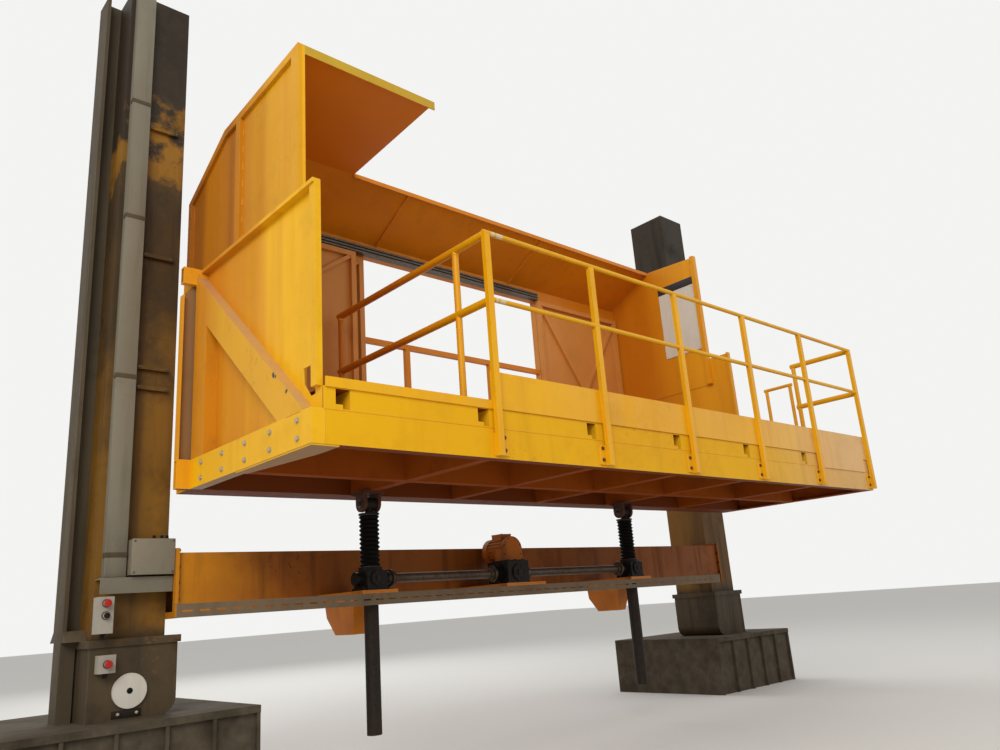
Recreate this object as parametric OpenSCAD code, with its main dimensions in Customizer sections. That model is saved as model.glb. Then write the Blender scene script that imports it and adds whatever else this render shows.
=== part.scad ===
// Hooded work platform on two screw jacks, carried by two columns and a cross beam.
// Millimetres. X runs along the platform, Y to the back, Z up.
// Origin: floor level, at the centre of the footprint, midway between the columns.
// Places are counted from the front left bottom corner of the platform, which on_plat() puts at its height.

/* [Node] */
// sub-part to build, or all

/* [Platform frame] */
// length of the platform, end face to end face
plat_len = 5810; // [5400:10:7600]
// front face of the frame to back face of the rear beam
frame_dep = 1610; // [1450:5:2000]
// underside of the platform above the floor
plat_z = 1750; // [1620:5:2400]
// height of the frame channels
frame_h = 170; // [140:1:220]
// flange width of the frame channels
flange_w = 70; // [50:1:90]
// web and flange thickness of the frame channels
chan_t = 10; // [6:0.5:14]
// depth of the rear beam
rear_w = 206; // [160:1:260]
// how far the rear beam sticks out past the left end
rear_out = 80; // [40:1:140]
// depth of the part of the rear beam that sticks out
lip_d = 45; // [30:1:80]
// width of the plate under the front left corner
corner_w = 150; // [100:5:220]
// depth over which that plate keeps its full width
corner_d = 190; // [100:5:260]
// depth of that plate where it ends at the sill
corner_l = 800; // [400:10:1200]
// thickness of that plate
corner_t = 8; // [5:0.5:12]
// front face of the middle stringers from the front face
stringer_y = 775; // [500:5:900]
// height of the deck joists
joist_h = 110; // [80:1:140]
// width of a deck joist
joist_w = 88; // [60:1:100]
// pitch of the deck joists
joist_pitch = 885; // [600:5:1100]
// left edge of the first deck joist
joist_x = 132; // [120:1:300]
// thickness of the deck plate
deck_t = 6; // [4:0.5:12]
// how far the deck runs past the rear beam
deck_over = 170; // [120:1:260]

/* [Guard rails] */
// guard rail height above the deck
rail_h = 1080; // [1000:5:1200]
// width of the posts along the platform
post_s = 42; // [36:1:60]
// depth of the posts and diameter of the front rails
post_d = 30; // [26:1:40]
// diameter of the side rails
side_d = 48; // [44:1:56]
// diameter of the uprights under the side rails
prop_d = 42; // [32:1:43]
// side of the square back rails
tube_s = 40; // [30:1:45]
// first post from the left end
post_x = 1144; // [1120:1:1300]
// pitch of the posts
post_pitch = 920; // [700:5:1200]
// height of the toe board above the deck
toe_h = 210; // [120:5:260]
// thickness of the toe board and post foot plates
toe_t = 10; // [5:0.5:14]
// how far the foot plates run past the posts
foot_w = 55; // [30:1:80]
// length of the short rail at the open right end
end_ret = 575; // [350:5:600]
// width of the low hoop behind it
hoop_w = 260; // [200:5:320]
// height of the low hoop above the deck
hoop_h = 895; // [800:5:950]

/* [Station and hood] */
// thickness of the sheet panels
sheet_t = 6; // [3:0.5:8]
// front edge of the canopy from the front face
can_y = 250; // [150:5:350]
// top of the canopy above the platform underside
can_z = 2350; // [2325:5:2600]
// right edge of the canopy from the left end
can_x = 1040; // [900:5:1110]
// height of the canopy's front edge
fascia_h = 58; // [40:2:90]
// roof knee from the front face
knee_y = 1220; // [1120:5:1300]
// roof knee above the platform underside
knee_z = 2295; // [2200:5:2320]
// how far the frame of the upper end panel stands out from its sheet
rim_d = 22; // [16:1:30]
// width of that frame along the roof
rim_w = 50; // [30:1:60]
// rear edge of the hood above the platform underside
eave_z = 2010; // [1900:5:2100]
// open deck past the right end wall
open_l = 1390; // [1100:5:1720]
// bottom edge of the right end wall above the deck
wall_lap = 725; // [500:5:800]
// height of the sheet below it above the deck
skirt_h = 965; // [820:5:1050]
// how far that sheet runs on in front of the wall
skirt_out = 200; // [100:5:300]
// notice board width
board_w = 400; // [250:5:480]
// notice board height
board_h = 715; // [400:5:740]
// front edge of the right end wall
wall_y = 640; // [500:5:800]
// right side of the left door leaf
leaf_l = 1320; // [1250:5:1400]
// left side of the right door leaf
leaf_r = 3290; // [3000:5:3500]
// width of the door leaf behind the left one
back_leaf_w = 960; // [700:5:1050]
// thickness of a door leaf
leaf_t = 40; // [30:1:50]
// how far the leaf behind shows past the left one
leaf_show = 105; // [80:1:150]
// height of the back rail above the deck
back_rail_h = 980; // [850:5:1100]
// clearance between pieces that seat on a slope
seat_gap = 0.3; // [0.2:0.1:1]

/* [Jacks and drive] */
// left jack from the left end
jack_x1 = 1112; // [1000:1:1130]
// right jack from the left end
jack_x2 = 3690; // [3500:5:3900]
// jack line from the front face
jack_y = 1250; // [1180:5:1290]
// screw diameter
screw_d = 50; // [40:1:60]
// bellows outside diameter
bellow_d = 134; // [100:1:145]
// bellows length between lug and gearbox
bellow_l = 340; // [300:5:400]
// height of the jack lugs
lug_h = 140; // [100:5:180]
// jack gearbox height
gear_h = 145; // [110:1:180]
// jack gearbox length over its shaft hubs
gear_l = 240; // [210:5:300]
// jack gearbox depth
gear_y = 160; // [155:1:200]
// length of the middle gearbox between its hubs
drive_l = 205; // [180:5:260]
// how far it stands left of the middle between the jacks
drive_off = 98; // [0:1:200]
// diameter of the motor over its ribs
motor_d = 190; // [150:2:210]
// length of the ribbed barrel of the motor
motor_l = 170; // [120:5:190]
// motor axis past the right end of the middle gearbox
motor_off = 55; // [0:5:120]
// motor axis above the shaft line
motor_up = 180; // [150:5:190]
// how far the foot of the motor plate reaches left of the motor
motor_foot = 160; // [120:5:200]
// thickness of the motor plate
motor_t = 25; // [15:1:35]
// protective tube outside diameter
tube_d = 92; // [88:1:130]
// protective tube wall
tube_wall = 8; // [5:0.5:12]
// protective tube length
tube_l = 845; // [820:5:1000]
// running clearance between a moving and a fixed piece
run_gap = 6; // [5:0.5:10]
// how far the platform can be lowered
travel_down = 150; // [50:5:200]
// line shaft diameter
shaft_d = 60; // [50:1:80]

/* [Columns and beam] */
// column width
col_w = 400; // [340:5:460]
// column depth
col_d = 450; // [380:5:600]
// column front face from the platform front face
col_y = 1800; // [1795:5:2100]
// height of the columns above the floor
col_h = 5300; // [4800:10:6000]
// inner face of the left column from the left end
col_x1 = 34; // [0:1:60]
// inner face of the right column back from the right end
col_in = 140; // [100:5:500]
// column wall thickness
col_t = 16; // [10:1:30]
// cross beam height
beam_h = 350; // [280:5:420]
// cross beam depth
beam_w = 300; // [240:5:360]
// cross beam plate thickness
beam_t = 12; // [8:1:20]
// thickness of the plates on the ends of the cross beam
end_plate_t = 20; // [12:1:30]
// how far those plates stand out round the beam
end_plate_out = 25; // [15:1:40]
// cross beam top below the platform underside
beam_drop = 335; // [320:5:400]
// foot height
foot_h = 430; // [340:5:460]
// plinth height above the floor
plinth_h = 520; // [420:5:600]
// plinth length
plinth_l = 1330; // [1100:10:1800]
// plinth front face from the platform front face
plinth_y = 1500; // [1400:5:1560]
// plinth depth
plinth_d = 1300; // [1100:10:1800]
// cable tray height
tray_h = 70; // [50:1:100]
// cable tray past the left end of the platform
tray_out = 150; // [80:5:200]
// cable tray past the right jack
tray_end = 1150; // [600:5:1300]
// cable tray slot pitch
slot_pitch = 92; // [80:2:240]
// length of a cable tray slot
slot_l = 56; // [30:1:70]
// cable shelf on the left column above its foot
shelf_up = 333; // [300:1:420]
// how far that shelf stands out from the column
cable_out = 100; // [70:5:140]
// width of the cable trunking
trunk_w = 114; // [80:1:150]
// depth of the cable trunking
trunk_d = 60; // [40:1:90]
// left side of the trunking from the outer side of the column
trunk_in = 29; // [10:1:80]
// width of the upper push-button box
button_w = 82; // [70:1:120]
// clamp bars on the left column above the platform underside
clamp_z = [670, 800, 1560, 2500]; // [500:10:3300]

/* [Hidden] */

C_YELLOW = [0.90, 0.62, 0.10];
C_SHADE = [0.80, 0.45, 0.08];
C_BROWN = [0.40, 0.30, 0.22];
C_STEEL = [0.36, 0.34, 0.31];
C_GREY = [0.55, 0.56, 0.54];
C_DARK = [0.10, 0.10, 0.10];
C_WHITE = [0.85, 0.85, 0.82];
C_STONE = [0.50, 0.48, 0.45];

col_x2 = plat_len - col_in;
col_top = col_h - plat_z;
wall_x = plat_len - open_l;
x0 = -(col_x1 + col_x2) / 2;
y0 = -(plinth_y + plinth_d - toe_t - post_d) / 2;
deck_z = frame_h + joist_h;
floor_z = deck_z + deck_t;
deck_dep = frame_dep + deck_over;
rear_y = frame_dep - rear_w;
in_x = flange_w + sheet_t;
bay_x = in_x + rim_d + sheet_t;
rail_top = floor_z + rail_h;
rail_mid = floor_z + rail_h * 0.61;
shield_z = rail_top + 10;
end_x = plat_len - side_d / 2 - 2;
n_post = floor((end_x - post_x - 600) / post_pitch) + 1;
posts = [for (i = [0 : n_post - 1]) post_x + i * post_pitch, end_x];
n_joist = floor((plat_len - flange_w - joist_w - 20 - joist_x) / joist_pitch) + 1;
joists = [for (i = [0 : n_joist - 1]) joist_x + i * joist_pitch];
last_post = posts[n_post - 1];
toe_y = -toe_t;
post_y = toe_y - post_d;
rail_y = toe_y - post_d / 2;

roof_slope = (can_z - knee_z) / (knee_y - can_y);
hood_slope = (knee_z - eave_z) / (deck_dep - knee_y);
hood_y = deck_dep;
joist_t = 8;
head_d = 60;
head_y = deck_dep - head_d - 20;
track_d = 55;
leaf_y = head_y - track_d + 8;
leaf_back = head_y + 10;
wall_z = knee_z - 35;
track_z = hood_under(deck_dep) - 75;
leaf_top = track_z - 5;
jamb_w = 60;
back_leaf_x = leaf_l + leaf_show;

tie_h = 107;
tie_z = shield_z - tie_h;
brace_y0 = 70;
brace_s = (tie_z + tie_h / 2 - frame_h) / (rear_y - brace_y0);
brace_a = atan(brace_s);
brace_w = frame_h;

pin_d = 34;
pin_z = -lug_h + 62;
gear_top = -lug_h - bellow_l;
gear_bot = gear_top - gear_h;
shelf_t = 20;
tray_top = gear_bot - shelf_t;
tray_d = 55;
shelf_y = jack_y - tube_d / 2 - tray_d - 12;
beam_top = -beam_drop;
beam_y = col_y - 120;
shaft_z = gear_bot + gear_h / 2;
drive_y = 220;
drive_x = (jack_x1 + jack_x2) / 2 - drive_off - drive_l / 2;
hub_l = 30;
motor_x = drive_x + drive_l + motor_off;
motor_z = shaft_z + motor_up;
motor_r = motor_d / 2 + 5;
foot_bot = plinth_h - plat_z;
foot_top = foot_bot + foot_h;

function roof_z(y) = can_z - roof_slope * (y - can_y);
function roof_under(y) = roof_z(y) - sheet_t / cos(atan(roof_slope));
function hood_z(y) = knee_z - hood_slope * (y - knee_y);
function hood_under(y) = hood_z(y) - sheet_t / cos(atan(hood_slope));

module on_plat() {
    translate([x0, y0, plat_z]) children();
}

// box given by its lowest corner and its size
module bar(p, s) {
    translate(p) cube(s);
}

// profile drawn in Y and Z, pushed along X
module yz(x, len) {
    translate([x, 0, 0]) rotate([90, 0, 90]) linear_extrude(len) children();
}

// profile drawn in X and Z, pushed along Y
module xz(y, len) {
    translate([0, y + len, 0]) rotate([90, 0, 0]) linear_extrude(len) children();
}

module upright(x, y, z, d, h) {
    translate([x, y, z]) cylinder(d = d, h = h, $fn = 64);
}

// channel lying along Y, web on the low X side
module channel_y(x, y, z, len, w, h, t) {
    bar([x, y, z], [t, len, h]);
    bar([x, y, z], [w, len, t]);
    bar([x, y, z + h - t], [w, len, t]);
}

// Platform frame

module front_beam() color(C_YELLOW) on_plat() {
    x = flange_w;
    len = plat_len - flange_w;
    bar([x, 0, 0], [len, chan_t, frame_h]);
    bar([x, 0, 0], [len, flange_w, chan_t]);
    bar([x, 0, frame_h - chan_t], [len, flange_w, chan_t]);
    difference() {
        bar([x, 0, frame_h], [len, joist_t, joist_h]);
        // openings at the joist ends, cut away less at their lower left
        for (j = joists) {
            bar([j, -1, frame_h + 26], [joist_w - joist_t, 10, joist_h - 26 - joist_t]);
            bar([j + joist_w * 0.45, -1, frame_h + 4], [joist_w * 0.55 - joist_t, 10, 24]);
        }
    }
}

// box beam, with a shallow box end that sticks out at the left
module rear_beam() color(C_YELLOW) on_plat() {
    inner_h = frame_h - 2 * chan_t;
    difference() {
        union() {
            bar([0, rear_y, 0], [plat_len, rear_w, frame_h]);
            bar([-rear_out, rear_y, 0], [rear_out, lip_d, frame_h]);
        }
        bar([-1, rear_y + chan_t, chan_t], [plat_len + 2, rear_w - 2 * chan_t, inner_h]);
        bar([-rear_out - 1, rear_y + chan_t, chan_t], [rear_out + 2, lip_d - 2 * chan_t, inner_h]);
    }
}

jack_beams = [jack_x1, jack_x1 + (jack_x2 - jack_x1) / 3, jack_x1 + (jack_x2 - jack_x1) * 2 / 3,
    jack_x2, (jack_x2 + plat_len) / 2];

module cross_channels() color(C_SHADE) on_plat() {
    for (x = jack_beams)
        channel_y(x - flange_w / 2, flange_w, 0, rear_y - flange_w, flange_w, frame_h, chan_t);
    translate([2 * plat_len, 0, 0]) mirror([1, 0, 0])
        channel_y(plat_len, flange_w, 0, rear_y - flange_w, flange_w, frame_h, chan_t);
}

// channels between the cross channels, open to the back
module deck_stringers() color(C_SHADE) on_plat() {
    xs = [flange_w, for (x = jack_beams) x + flange_w / 2];
    xe = [for (x = jack_beams) x - flange_w / 2, plat_len - flange_w];
    for (i = [0 : len(xs) - 1]) {
        len = xe[i] - xs[i];
        bar([xs[i], stringer_y, 0], [len, chan_t, frame_h]);
        for (z = [0, frame_h - chan_t])
            bar([xs[i], stringer_y, z], [len, flange_w, chan_t]);
    }
}

// channels across the frame, open to the left
module deck_joists() color(C_SHADE) on_plat() {
    len = deck_dep - joist_t;
    for (j = joists) {
        bar([j + joist_w - joist_t, joist_t, frame_h], [joist_t, len, joist_h]);
        for (z = [frame_h, deck_z - joist_t])
            bar([j, joist_t, z], [joist_w, len, joist_t]);
    }
}

module deck_plate() color(C_YELLOW) on_plat() {
    bar([in_x, 0, deck_z], [plat_len - in_x, deck_dep, deck_t]);
}

module toe_board() color(C_YELLOW) on_plat() {
    bar([in_x, toe_y, deck_z - 4], [post_x - post_s / 2 - in_x - 3, toe_t, 50]);
    bar([post_x - post_s / 2, toe_y, deck_z + 1], [plat_len - post_x + post_s / 2, toe_t, toe_h + 5]);
    bar([last_post + post_s / 2 + 12, toe_y, frame_h - 8], [end_x - last_post - post_s - 84, toe_t, joist_h + 20]);
}

// Guard rails

// round bar along the platform
module pipe_x(x, y, z, d, len) {
    translate([x, y, z]) rotate([0, 90, 0]) cylinder(d = d, h = len, $fn = 48);
}

// round bar towards the back
module pipe_y(x, y, z, d, len) {
    translate([x, y, z]) rotate([-90, 0, 0]) cylinder(d = d, h = len, $fn = 48);
}

module guard_posts() color(C_YELLOW) on_plat() {
    z = rail_top - post_d / 2;
    difference() {
        for (p = posts) {
            bar([p - post_s / 2, post_y, 12], [post_s, post_d, z - 9 - 12]);
            side = p == post_x ? 0 : -1;
            bar([p - post_s / 2 + side * foot_w, toe_y, 16], [post_s + foot_w, toe_t, frame_h - 46]);
        }
        pipe_x(0, rail_y, z, post_d + 2 * seat_gap, plat_len);
    }
}

module guard_rails() color(C_YELLOW) on_plat() {
    pipe_x(post_x - post_s / 2, rail_y, rail_top - post_d / 2, post_d, end_x - post_x + post_s);
    for (i = [0 : len(posts) - 2])
        pipe_x(posts[i] + post_s / 2, rail_y, rail_mid - post_d / 2, post_d, posts[i + 1] - posts[i] - post_s);
}

// two round rails running back from the front post, with uprights on the deck
module side_rail(x, y1, uprights) {
    for (z = [rail_top - side_d / 2, rail_mid - side_d / 2])
        pipe_y(x, toe_y, z, side_d, y1 - toe_y);
    for (u = uprights)
        upright(x, u, floor_z, prop_d, rail_top - side_d / 2 - floor_z);
}

module side_rails() color(C_YELLOW) on_plat() {
    back = leaf_y - 30;
    side_rail(post_x, back, [262, back - side_d / 2]);
    side_rail(end_x, end_ret, [end_ret - side_d / 2]);
    // low hoop beside the gap in the rails
    ya = end_ret + 45;
    yb = ya + hoop_w;
    for (y = [ya, yb])
        upright(end_x, y, floor_z, post_d + 4, hoop_h - post_d / 2);
    pipe_y(end_x, ya - 24, floor_z + hoop_h - post_d / 2, post_d + 2, hoop_w + 48);
}

// rail across the door opening, and rail round the open end of the deck
module back_rails() color(C_SHADE) on_plat() {
    top = floor_z + back_rail_h;
    heights = [top - tube_s, floor_z + back_rail_h / 2];
    y = head_y + 10;
    xa = back_leaf_x;
    for (z = heights)
        bar([xa, y, z], [leaf_r - xa, tube_s, tube_s]);
    for (k = [0.2, 0.67])
        bar([xa + (leaf_r - xa) * k, y, floor_z], [tube_s, tube_s, back_rail_h - tube_s]);
    yb = deck_dep - 2 * tube_s;
    xb = wall_x + 2 * sheet_t;
    xc = plat_len - 10 - tube_s;
    for (z = heights) {
        bar([xb, yb, z], [xc + tube_s - xb, tube_s, tube_s]);
        bar([xc, yb - 330, z], [tube_s, 330, tube_s]);
    }
    for (x = [xb + 60, (xb + xc + tube_s) / 2, xc])
        bar([x, yb, floor_z], [tube_s, tube_s, back_rail_h - tube_s]);
    bar([xc, yb - 330, floor_z], [tube_s, tube_s, back_rail_h - tube_s]);
}

// Left end

module end_sill() color(C_YELLOW) on_plat() {
    channel_y(0, 0, 0, rear_y, flange_w, frame_h, chan_t);
    bar([0, 0, 0], [flange_w, 8, frame_h]);
    // corner plate under the sill and the front beam
    e = corner_t / 2;
    translate([0, 0, -corner_t]) linear_extrude(corner_t) polygon([[e, e], [corner_w, e],
        [corner_w, corner_d], [flange_w - e, corner_l], [e, corner_l]]);
}

function brace_pts(d) = let (
        n = d / cos(brace_a),
        w = brace_w / sin(brace_a),
        zt = frame_h + (rear_y - brace_y0) * brace_s - n,
        zl = frame_h + (rear_y - brace_y0 - w) * brace_s + n)
    [[brace_y0 + d / sin(brace_a), frame_h], [brace_y0 + w - d / sin(brace_a), frame_h], [rear_y, zl], [rear_y, zt]];

// sloping channel and the upright channel that it lands on
module end_brace() color(C_YELLOW) on_plat() {
    difference() {
        yz(0, flange_w) polygon(brace_pts(0));
        yz(chan_t, flange_w) polygon(brace_pts(chan_t));
    }
    w = brace_w / sin(brace_a);
    y = rear_y - frame_h;
    z1 = frame_h + (rear_y - brace_y0 - w) * brace_s;
    z2 = frame_h + (y - brace_y0 - w) * brace_s;
    difference() {
        yz(0, flange_w) polygon([[y, frame_h], [rear_y, frame_h], [rear_y, z1], [y, z2]]);
        bar([chan_t, y + chan_t, frame_h - 1], [flange_w, frame_h - 2 * chan_t, z1]);
    }
}

// channel between the ends of the rear beam and of the boxed tie at the top
module rear_corner_post() color(C_YELLOW) on_plat() {
    xl = -rear_out;
    web = [[xl, frame_h], [flange_w, frame_h], [flange_w, tie_z], [-10, tie_z], [xl, tie_z - 80]];
    xz(rear_y + lip_d - 10, 10) polygon(web);
    xz(rear_y, lip_d - 10)
        polygon([[xl, frame_h], [xl + 10, frame_h], [xl + 10, tie_z - 70], [xl, tie_z - 80]]);
    difference() {
        union() {
            bar([xl, rear_y, tie_z], [rear_out, lip_d, tie_h]);
            bar([0, rear_y, tie_z], [flange_w * 4, rear_w, tie_h]);
        }
        bar([xl - 1, rear_y + 8, tie_z + 8], [rear_out + 1, lip_d - 16, tie_h - 16]);
    }
}

module end_shield() color(C_YELLOW) on_plat() {
    difference() {
        bar([flange_w, 20, frame_h], [sheet_t, rear_y - 20, shield_z - frame_h]);
        yz(flange_w - 1, sheet_t + 2)
            polygon([[84, 413], [79, 259], [123, 256], [190, 330], [196, 412]]);
    }
    bar([flange_w - 40, 20, shield_z - 22], [40, rear_y - 20, 22]);
    bar([flange_w - 30, 20, floor_z], [30, 50, shield_z - 22 - floor_z]);
}

module end_panel() color(C_YELLOW) on_plat() {
    low = shield_z - 60;
    top = [[can_y, roof_z(can_y)], [knee_y, knee_z], [hood_y, eave_z]];
    edge = concat([[can_y, low]], top, [[hood_y, shield_z], [rear_y, shield_z], [rear_y, low]]);
    yz(in_x + rim_d, sheet_t) polygon(edge);
    // frame along the roof line, the front, the bottom and the rear edge
    yf = can_y + 80;
    yk = knee_y - 6;
    yr = hood_y - rim_w;
    yz(in_x, rim_d) difference() {
        polygon(edge);
        polygon([[yf, shield_z + 8], [yf, roof_z(yf) - rim_w], [yk, roof_z(yk) - rim_w],
            [yr, hood_z(yr) - rim_w], [yr, shield_z + 8]]);
    }
    ys = knee_y - 235;
    bar([in_x, ys, shield_z], [rim_d, 60, roof_z(ys) - rim_w / 2 - shield_z]);
}

module station_post() color(C_YELLOW) on_plat() {
    yb = can_y + 80;
    yz(bay_x, 16) polygon([[can_y, floor_z], [yb, floor_z], [yb, roof_under(yb) - seat_gap],
        [can_y, roof_under(can_y) - seat_gap]]);
}

module canopy() color(C_SHADE) on_plat() {
    yz(bay_x, can_x - bay_x)
        polygon([[can_y, roof_under(can_y)], [can_y, can_z], [knee_y, knee_z], [knee_y, roof_under(knee_y)]]);
    xf = bay_x + 16 + seat_gap;
    bar([xf, can_y, can_z - fascia_h], [can_x - xf, sheet_t, fascia_h]);
}

module hood() color(C_SHADE) on_plat() {
    yz(bay_x, wall_x - bay_x) polygon([[knee_y, knee_z], [hood_y, eave_z], [hood_y, hood_under(hood_y)],
        [knee_y, hood_under(knee_y)]]);
    // lapped seams
    ys = head_y - 2;
    for (k = [0.33, 0.66])
        yz(bay_x + (wall_x - bay_x) * k, 16) polygon([[knee_y, hood_under(knee_y)], [ys, hood_under(ys)],
            [ys, hood_under(ys) - 14], [knee_y, hood_under(knee_y) - 14]]);
    // front lip
    xz(knee_y - 8, 8) translate([can_x + 2, knee_z - 26]) square([wall_x - can_x - 2, 32]);
}

// Back wall

module door_header() color(C_SHADE) on_plat() {
    yb = head_y + head_d;
    yz(bay_x, wall_x - bay_x) polygon([[head_y, track_z], [yb, track_z], [yb, hood_under(yb) - seat_gap],
        [head_y, hood_under(head_y) - seat_gap]]);
}

// double rail that the front leaves hang on, up to the right leaf
module door_track() color(C_STEEL) on_plat() {
    len = leaf_r - bay_x;
    bar([bay_x, head_y - 8, track_z], [len, 8, 62]);
    for (z = [track_z, track_z + 24, track_z + 48])
        bar([bay_x, head_y - track_d, z], [len, track_d - 8, 14]);
}

// framed sheet leaf with its front face on y
module leaf(y, xa, xb, zb, zt) {
    f = leaf_t;
    bar([xa, y + leaf_t - sheet_t, zb], [xb - xa, sheet_t, zt - zb]);
    for (z = [zb, zt - f])
        bar([xa, y, z], [xb - xa, leaf_t, f]);
    for (x = [xa, xb - f])
        bar([x, y, zb], [f, leaf_t, zt - zb]);
}

module brace_bar(y, a, b, w) {
    dx = b[0] - a[0];
    dz = b[1] - a[1];
    l = sqrt(dx * dx + dz * dz);
    nx = -dz / l * w / 2;
    nz = dx / l * w / 2;
    xz(y + sheet_t, leaf_t - 2 * sheet_t)
        polygon([[a[0] + nx, a[1] + nz], [a[0] - nx, a[1] - nz], [b[0] - nx, b[1] - nz], [b[0] + nx, b[1] + nz]]);
}

module door_leaves() color(C_SHADE) on_plat() {
    e = leaf_t * 3 / 4;
    xa = bay_x + jamb_w;
    zm = (floor_z + leaf_top) / 2;
    leaf(leaf_y, xa, leaf_l, floor_z, leaf_top);
    brace_bar(leaf_y, [leaf_l - e, leaf_top - e], [xa + e, zm], e);
    // leaf behind the left one, seen past its edge
    xr = back_leaf_x;
    leaf(leaf_back, xr - back_leaf_w, xr, floor_z, leaf_top);
    brace_bar(leaf_back, [xr - e, leaf_top - e], [xr - back_leaf_w + e, zm], e);
    // right leaf with a middle bar and two braces
    xb = wall_x - leaf_t / 2;
    xm = (leaf_r + xb) / 2;
    leaf(leaf_y, leaf_r, xb, floor_z, leaf_top);
    bar([leaf_r, leaf_y, zm - e], [xb - leaf_r, leaf_t, e]);
    for (x = [leaf_r + e, xb - e])
        brace_bar(leaf_y, [x, leaf_top - e], [xm, zm - e / 3], e - 4);
}

module door_jambs() color(C_SHADE) on_plat() {
    h = track_z - floor_z;
    for (x = [bay_x, leaf_r, wall_x - jamb_w])
        bar([x, head_y, floor_z], [jamb_w, head_d, h]);
}

// Right end wall

module end_wall() color(C_YELLOW) on_plat() {
    z = floor_z + wall_lap;
    yz(wall_x, sheet_t)
        polygon([[wall_y, z], [wall_y, wall_z], [knee_y, knee_z], [hood_y, eave_z], [hood_y, z]]);
    bar([wall_x - 40, wall_y, z], [40, 40, wall_z - z]);
}

module end_wall_skirt() color(C_YELLOW) on_plat() {
    x = wall_x + sheet_t;
    y = wall_y - skirt_out;
    bar([x, y, floor_z], [sheet_t, deck_dep - 90 - y, skirt_h]);
    bar([x - 30, y, floor_z], [30, 20, skirt_h]);
}

module notice_board() color(C_WHITE) on_plat() {
    bar([wall_x - 8, wall_y + 60, floor_z + skirt_h + 114], [8, board_w, board_h]);
}

// Screw jacks

module jack_lug(x) {
    difference() {
        union() {
            bar([x - 80, jack_y - 80, -16], [160, 160, 16]);
            for (s = [-1, 1])
                yz(x + s * 52 - 10, 20) difference() {
                    union() {
                        translate([jack_y, pin_z]) circle(d = 110, $fn = 64);
                        translate([jack_y - 55, pin_z]) square([110, lug_h - 78]);
                    }
                }
        }
        translate([x - 120, jack_y, pin_z]) rotate([0, 90, 0]) cylinder(d = pin_d + 1, h = 240, $fn = 48);
    }
}

module jack_lugs() color(C_BROWN) on_plat() {
    jack_lug(jack_x1);
    jack_lug(jack_x2);
}

// screw, eye and clevis pin, one piece
module jack_screw(x) {
    zb = gear_bot - tube_l + travel_down + 40;
    upright(x, jack_y, zb, screw_d, pin_z - zb);
    translate([x - 40, jack_y, pin_z]) rotate([0, 90, 0]) cylinder(d = 84, h = 80, $fn = 64);
    translate([x - 74, jack_y, pin_z]) rotate([0, 90, 0]) cylinder(d = pin_d, h = 148, $fn = 48);
    upright(x, jack_y, -lug_h - 10, bellow_d, 10);
}

module jack_screws() color(C_STEEL) on_plat() {
    jack_screw(jack_x1);
    jack_screw(jack_x2);
}

// bellows of folded rings round the screw
module bellows(x) {
    n = 12;
    zt = -lug_h - 10;
    p = (zt - gear_top) / n;
    r1 = bellow_d / 2;
    r2 = r1 - 14;
    ri = screw_d / 2 + run_gap;
    translate([x, jack_y, 0]) rotate_extrude($fn = 64)
        polygon(concat([[ri, gear_top]],
            [for (i = [0 : n - 1]) each [[r2, gear_top + i * p], [r1, gear_top + (i + 0.5) * p]]],
            [[r2, zt], [ri, zt]]));
}

module bellows_left() color(C_DARK) on_plat() bellows(jack_x1);
module bellows_right() color(C_DARK) on_plat() bellows(jack_x2);

// worm box with round hubs, a collar under the bellows and a foot plate
module jack_gearbox(x) {
    l = gear_l - 90;
    difference() {
        union() {
            bar([x - l / 2, jack_y - gear_y / 2, gear_bot], [l, gear_y, gear_h - 25]);
            bar([x - l / 2 - 20, jack_y - gear_y / 2 + 10, gear_bot], [l + 40, gear_y - 20, 18]);
            upright(x, jack_y, gear_bot, gear_y - 10, gear_h);
            pipe_x(x - gear_l / 2, jack_y, shaft_z, 84, gear_l);
            pipe_x(x - l / 2 - 12, jack_y, shaft_z, 104, l + 24);
            pipe_y(x, jack_y - gear_y / 2 - 10, shaft_z, 96, 20);
        }
        upright(x, jack_y, gear_bot - 1, screw_d + 2 * run_gap, gear_h + 2);
    }
}

module jack_gearboxes() color(C_DARK) on_plat() {
    jack_gearbox(jack_x1);
    jack_gearbox(jack_x2);
}

module jack_tube(x) {
    difference() {
        upright(x, jack_y, gear_bot - tube_l, tube_d, tube_l);
        upright(x, jack_y, gear_bot - tube_l + 10, tube_d - 2 * tube_wall, tube_l);
    }
}

module jack_tubes() color(C_STEEL) on_plat() {
    jack_tube(jack_x1);
    jack_tube(jack_x2);
}

// shelf under a gearbox with a tapered box below, fixed to the beam
module console(x) {
    difference() {
        bar([x - 130, shelf_y, gear_bot - shelf_t], [260, beam_y - shelf_y, shelf_t]);
        upright(x, jack_y, gear_bot - shelf_t - 1, tube_d + 2, shelf_t + 2);
    }
    ya = jack_y + tube_d / 2 + 20;
    top = gear_bot - shelf_t;
    bot = top - 240;
    intersection() {
        yz(x - 100, 200)
            polygon([[ya, top], [beam_y, top], [beam_y, bot + 110], [beam_y - 80, bot], [ya + 70, bot]]);
        xz(ya - 1, beam_y - ya + 2) polygon([[x - 88, top], [x + 88, top], [x + 52, bot], [x - 52, bot]]);
    }
}

module jack_consoles() color(C_YELLOW) on_plat() {
    console(jack_x1);
    console(jack_x2);
    // shelf under the middle gearbox and the foot of the motor plate
    xa = drive_x - shelf_t;
    bar([xa, shelf_y, gear_bot - shelf_t], [motor_x + motor_r + 5 - xa, beam_y - shelf_y, shelf_t]);
}

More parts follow.
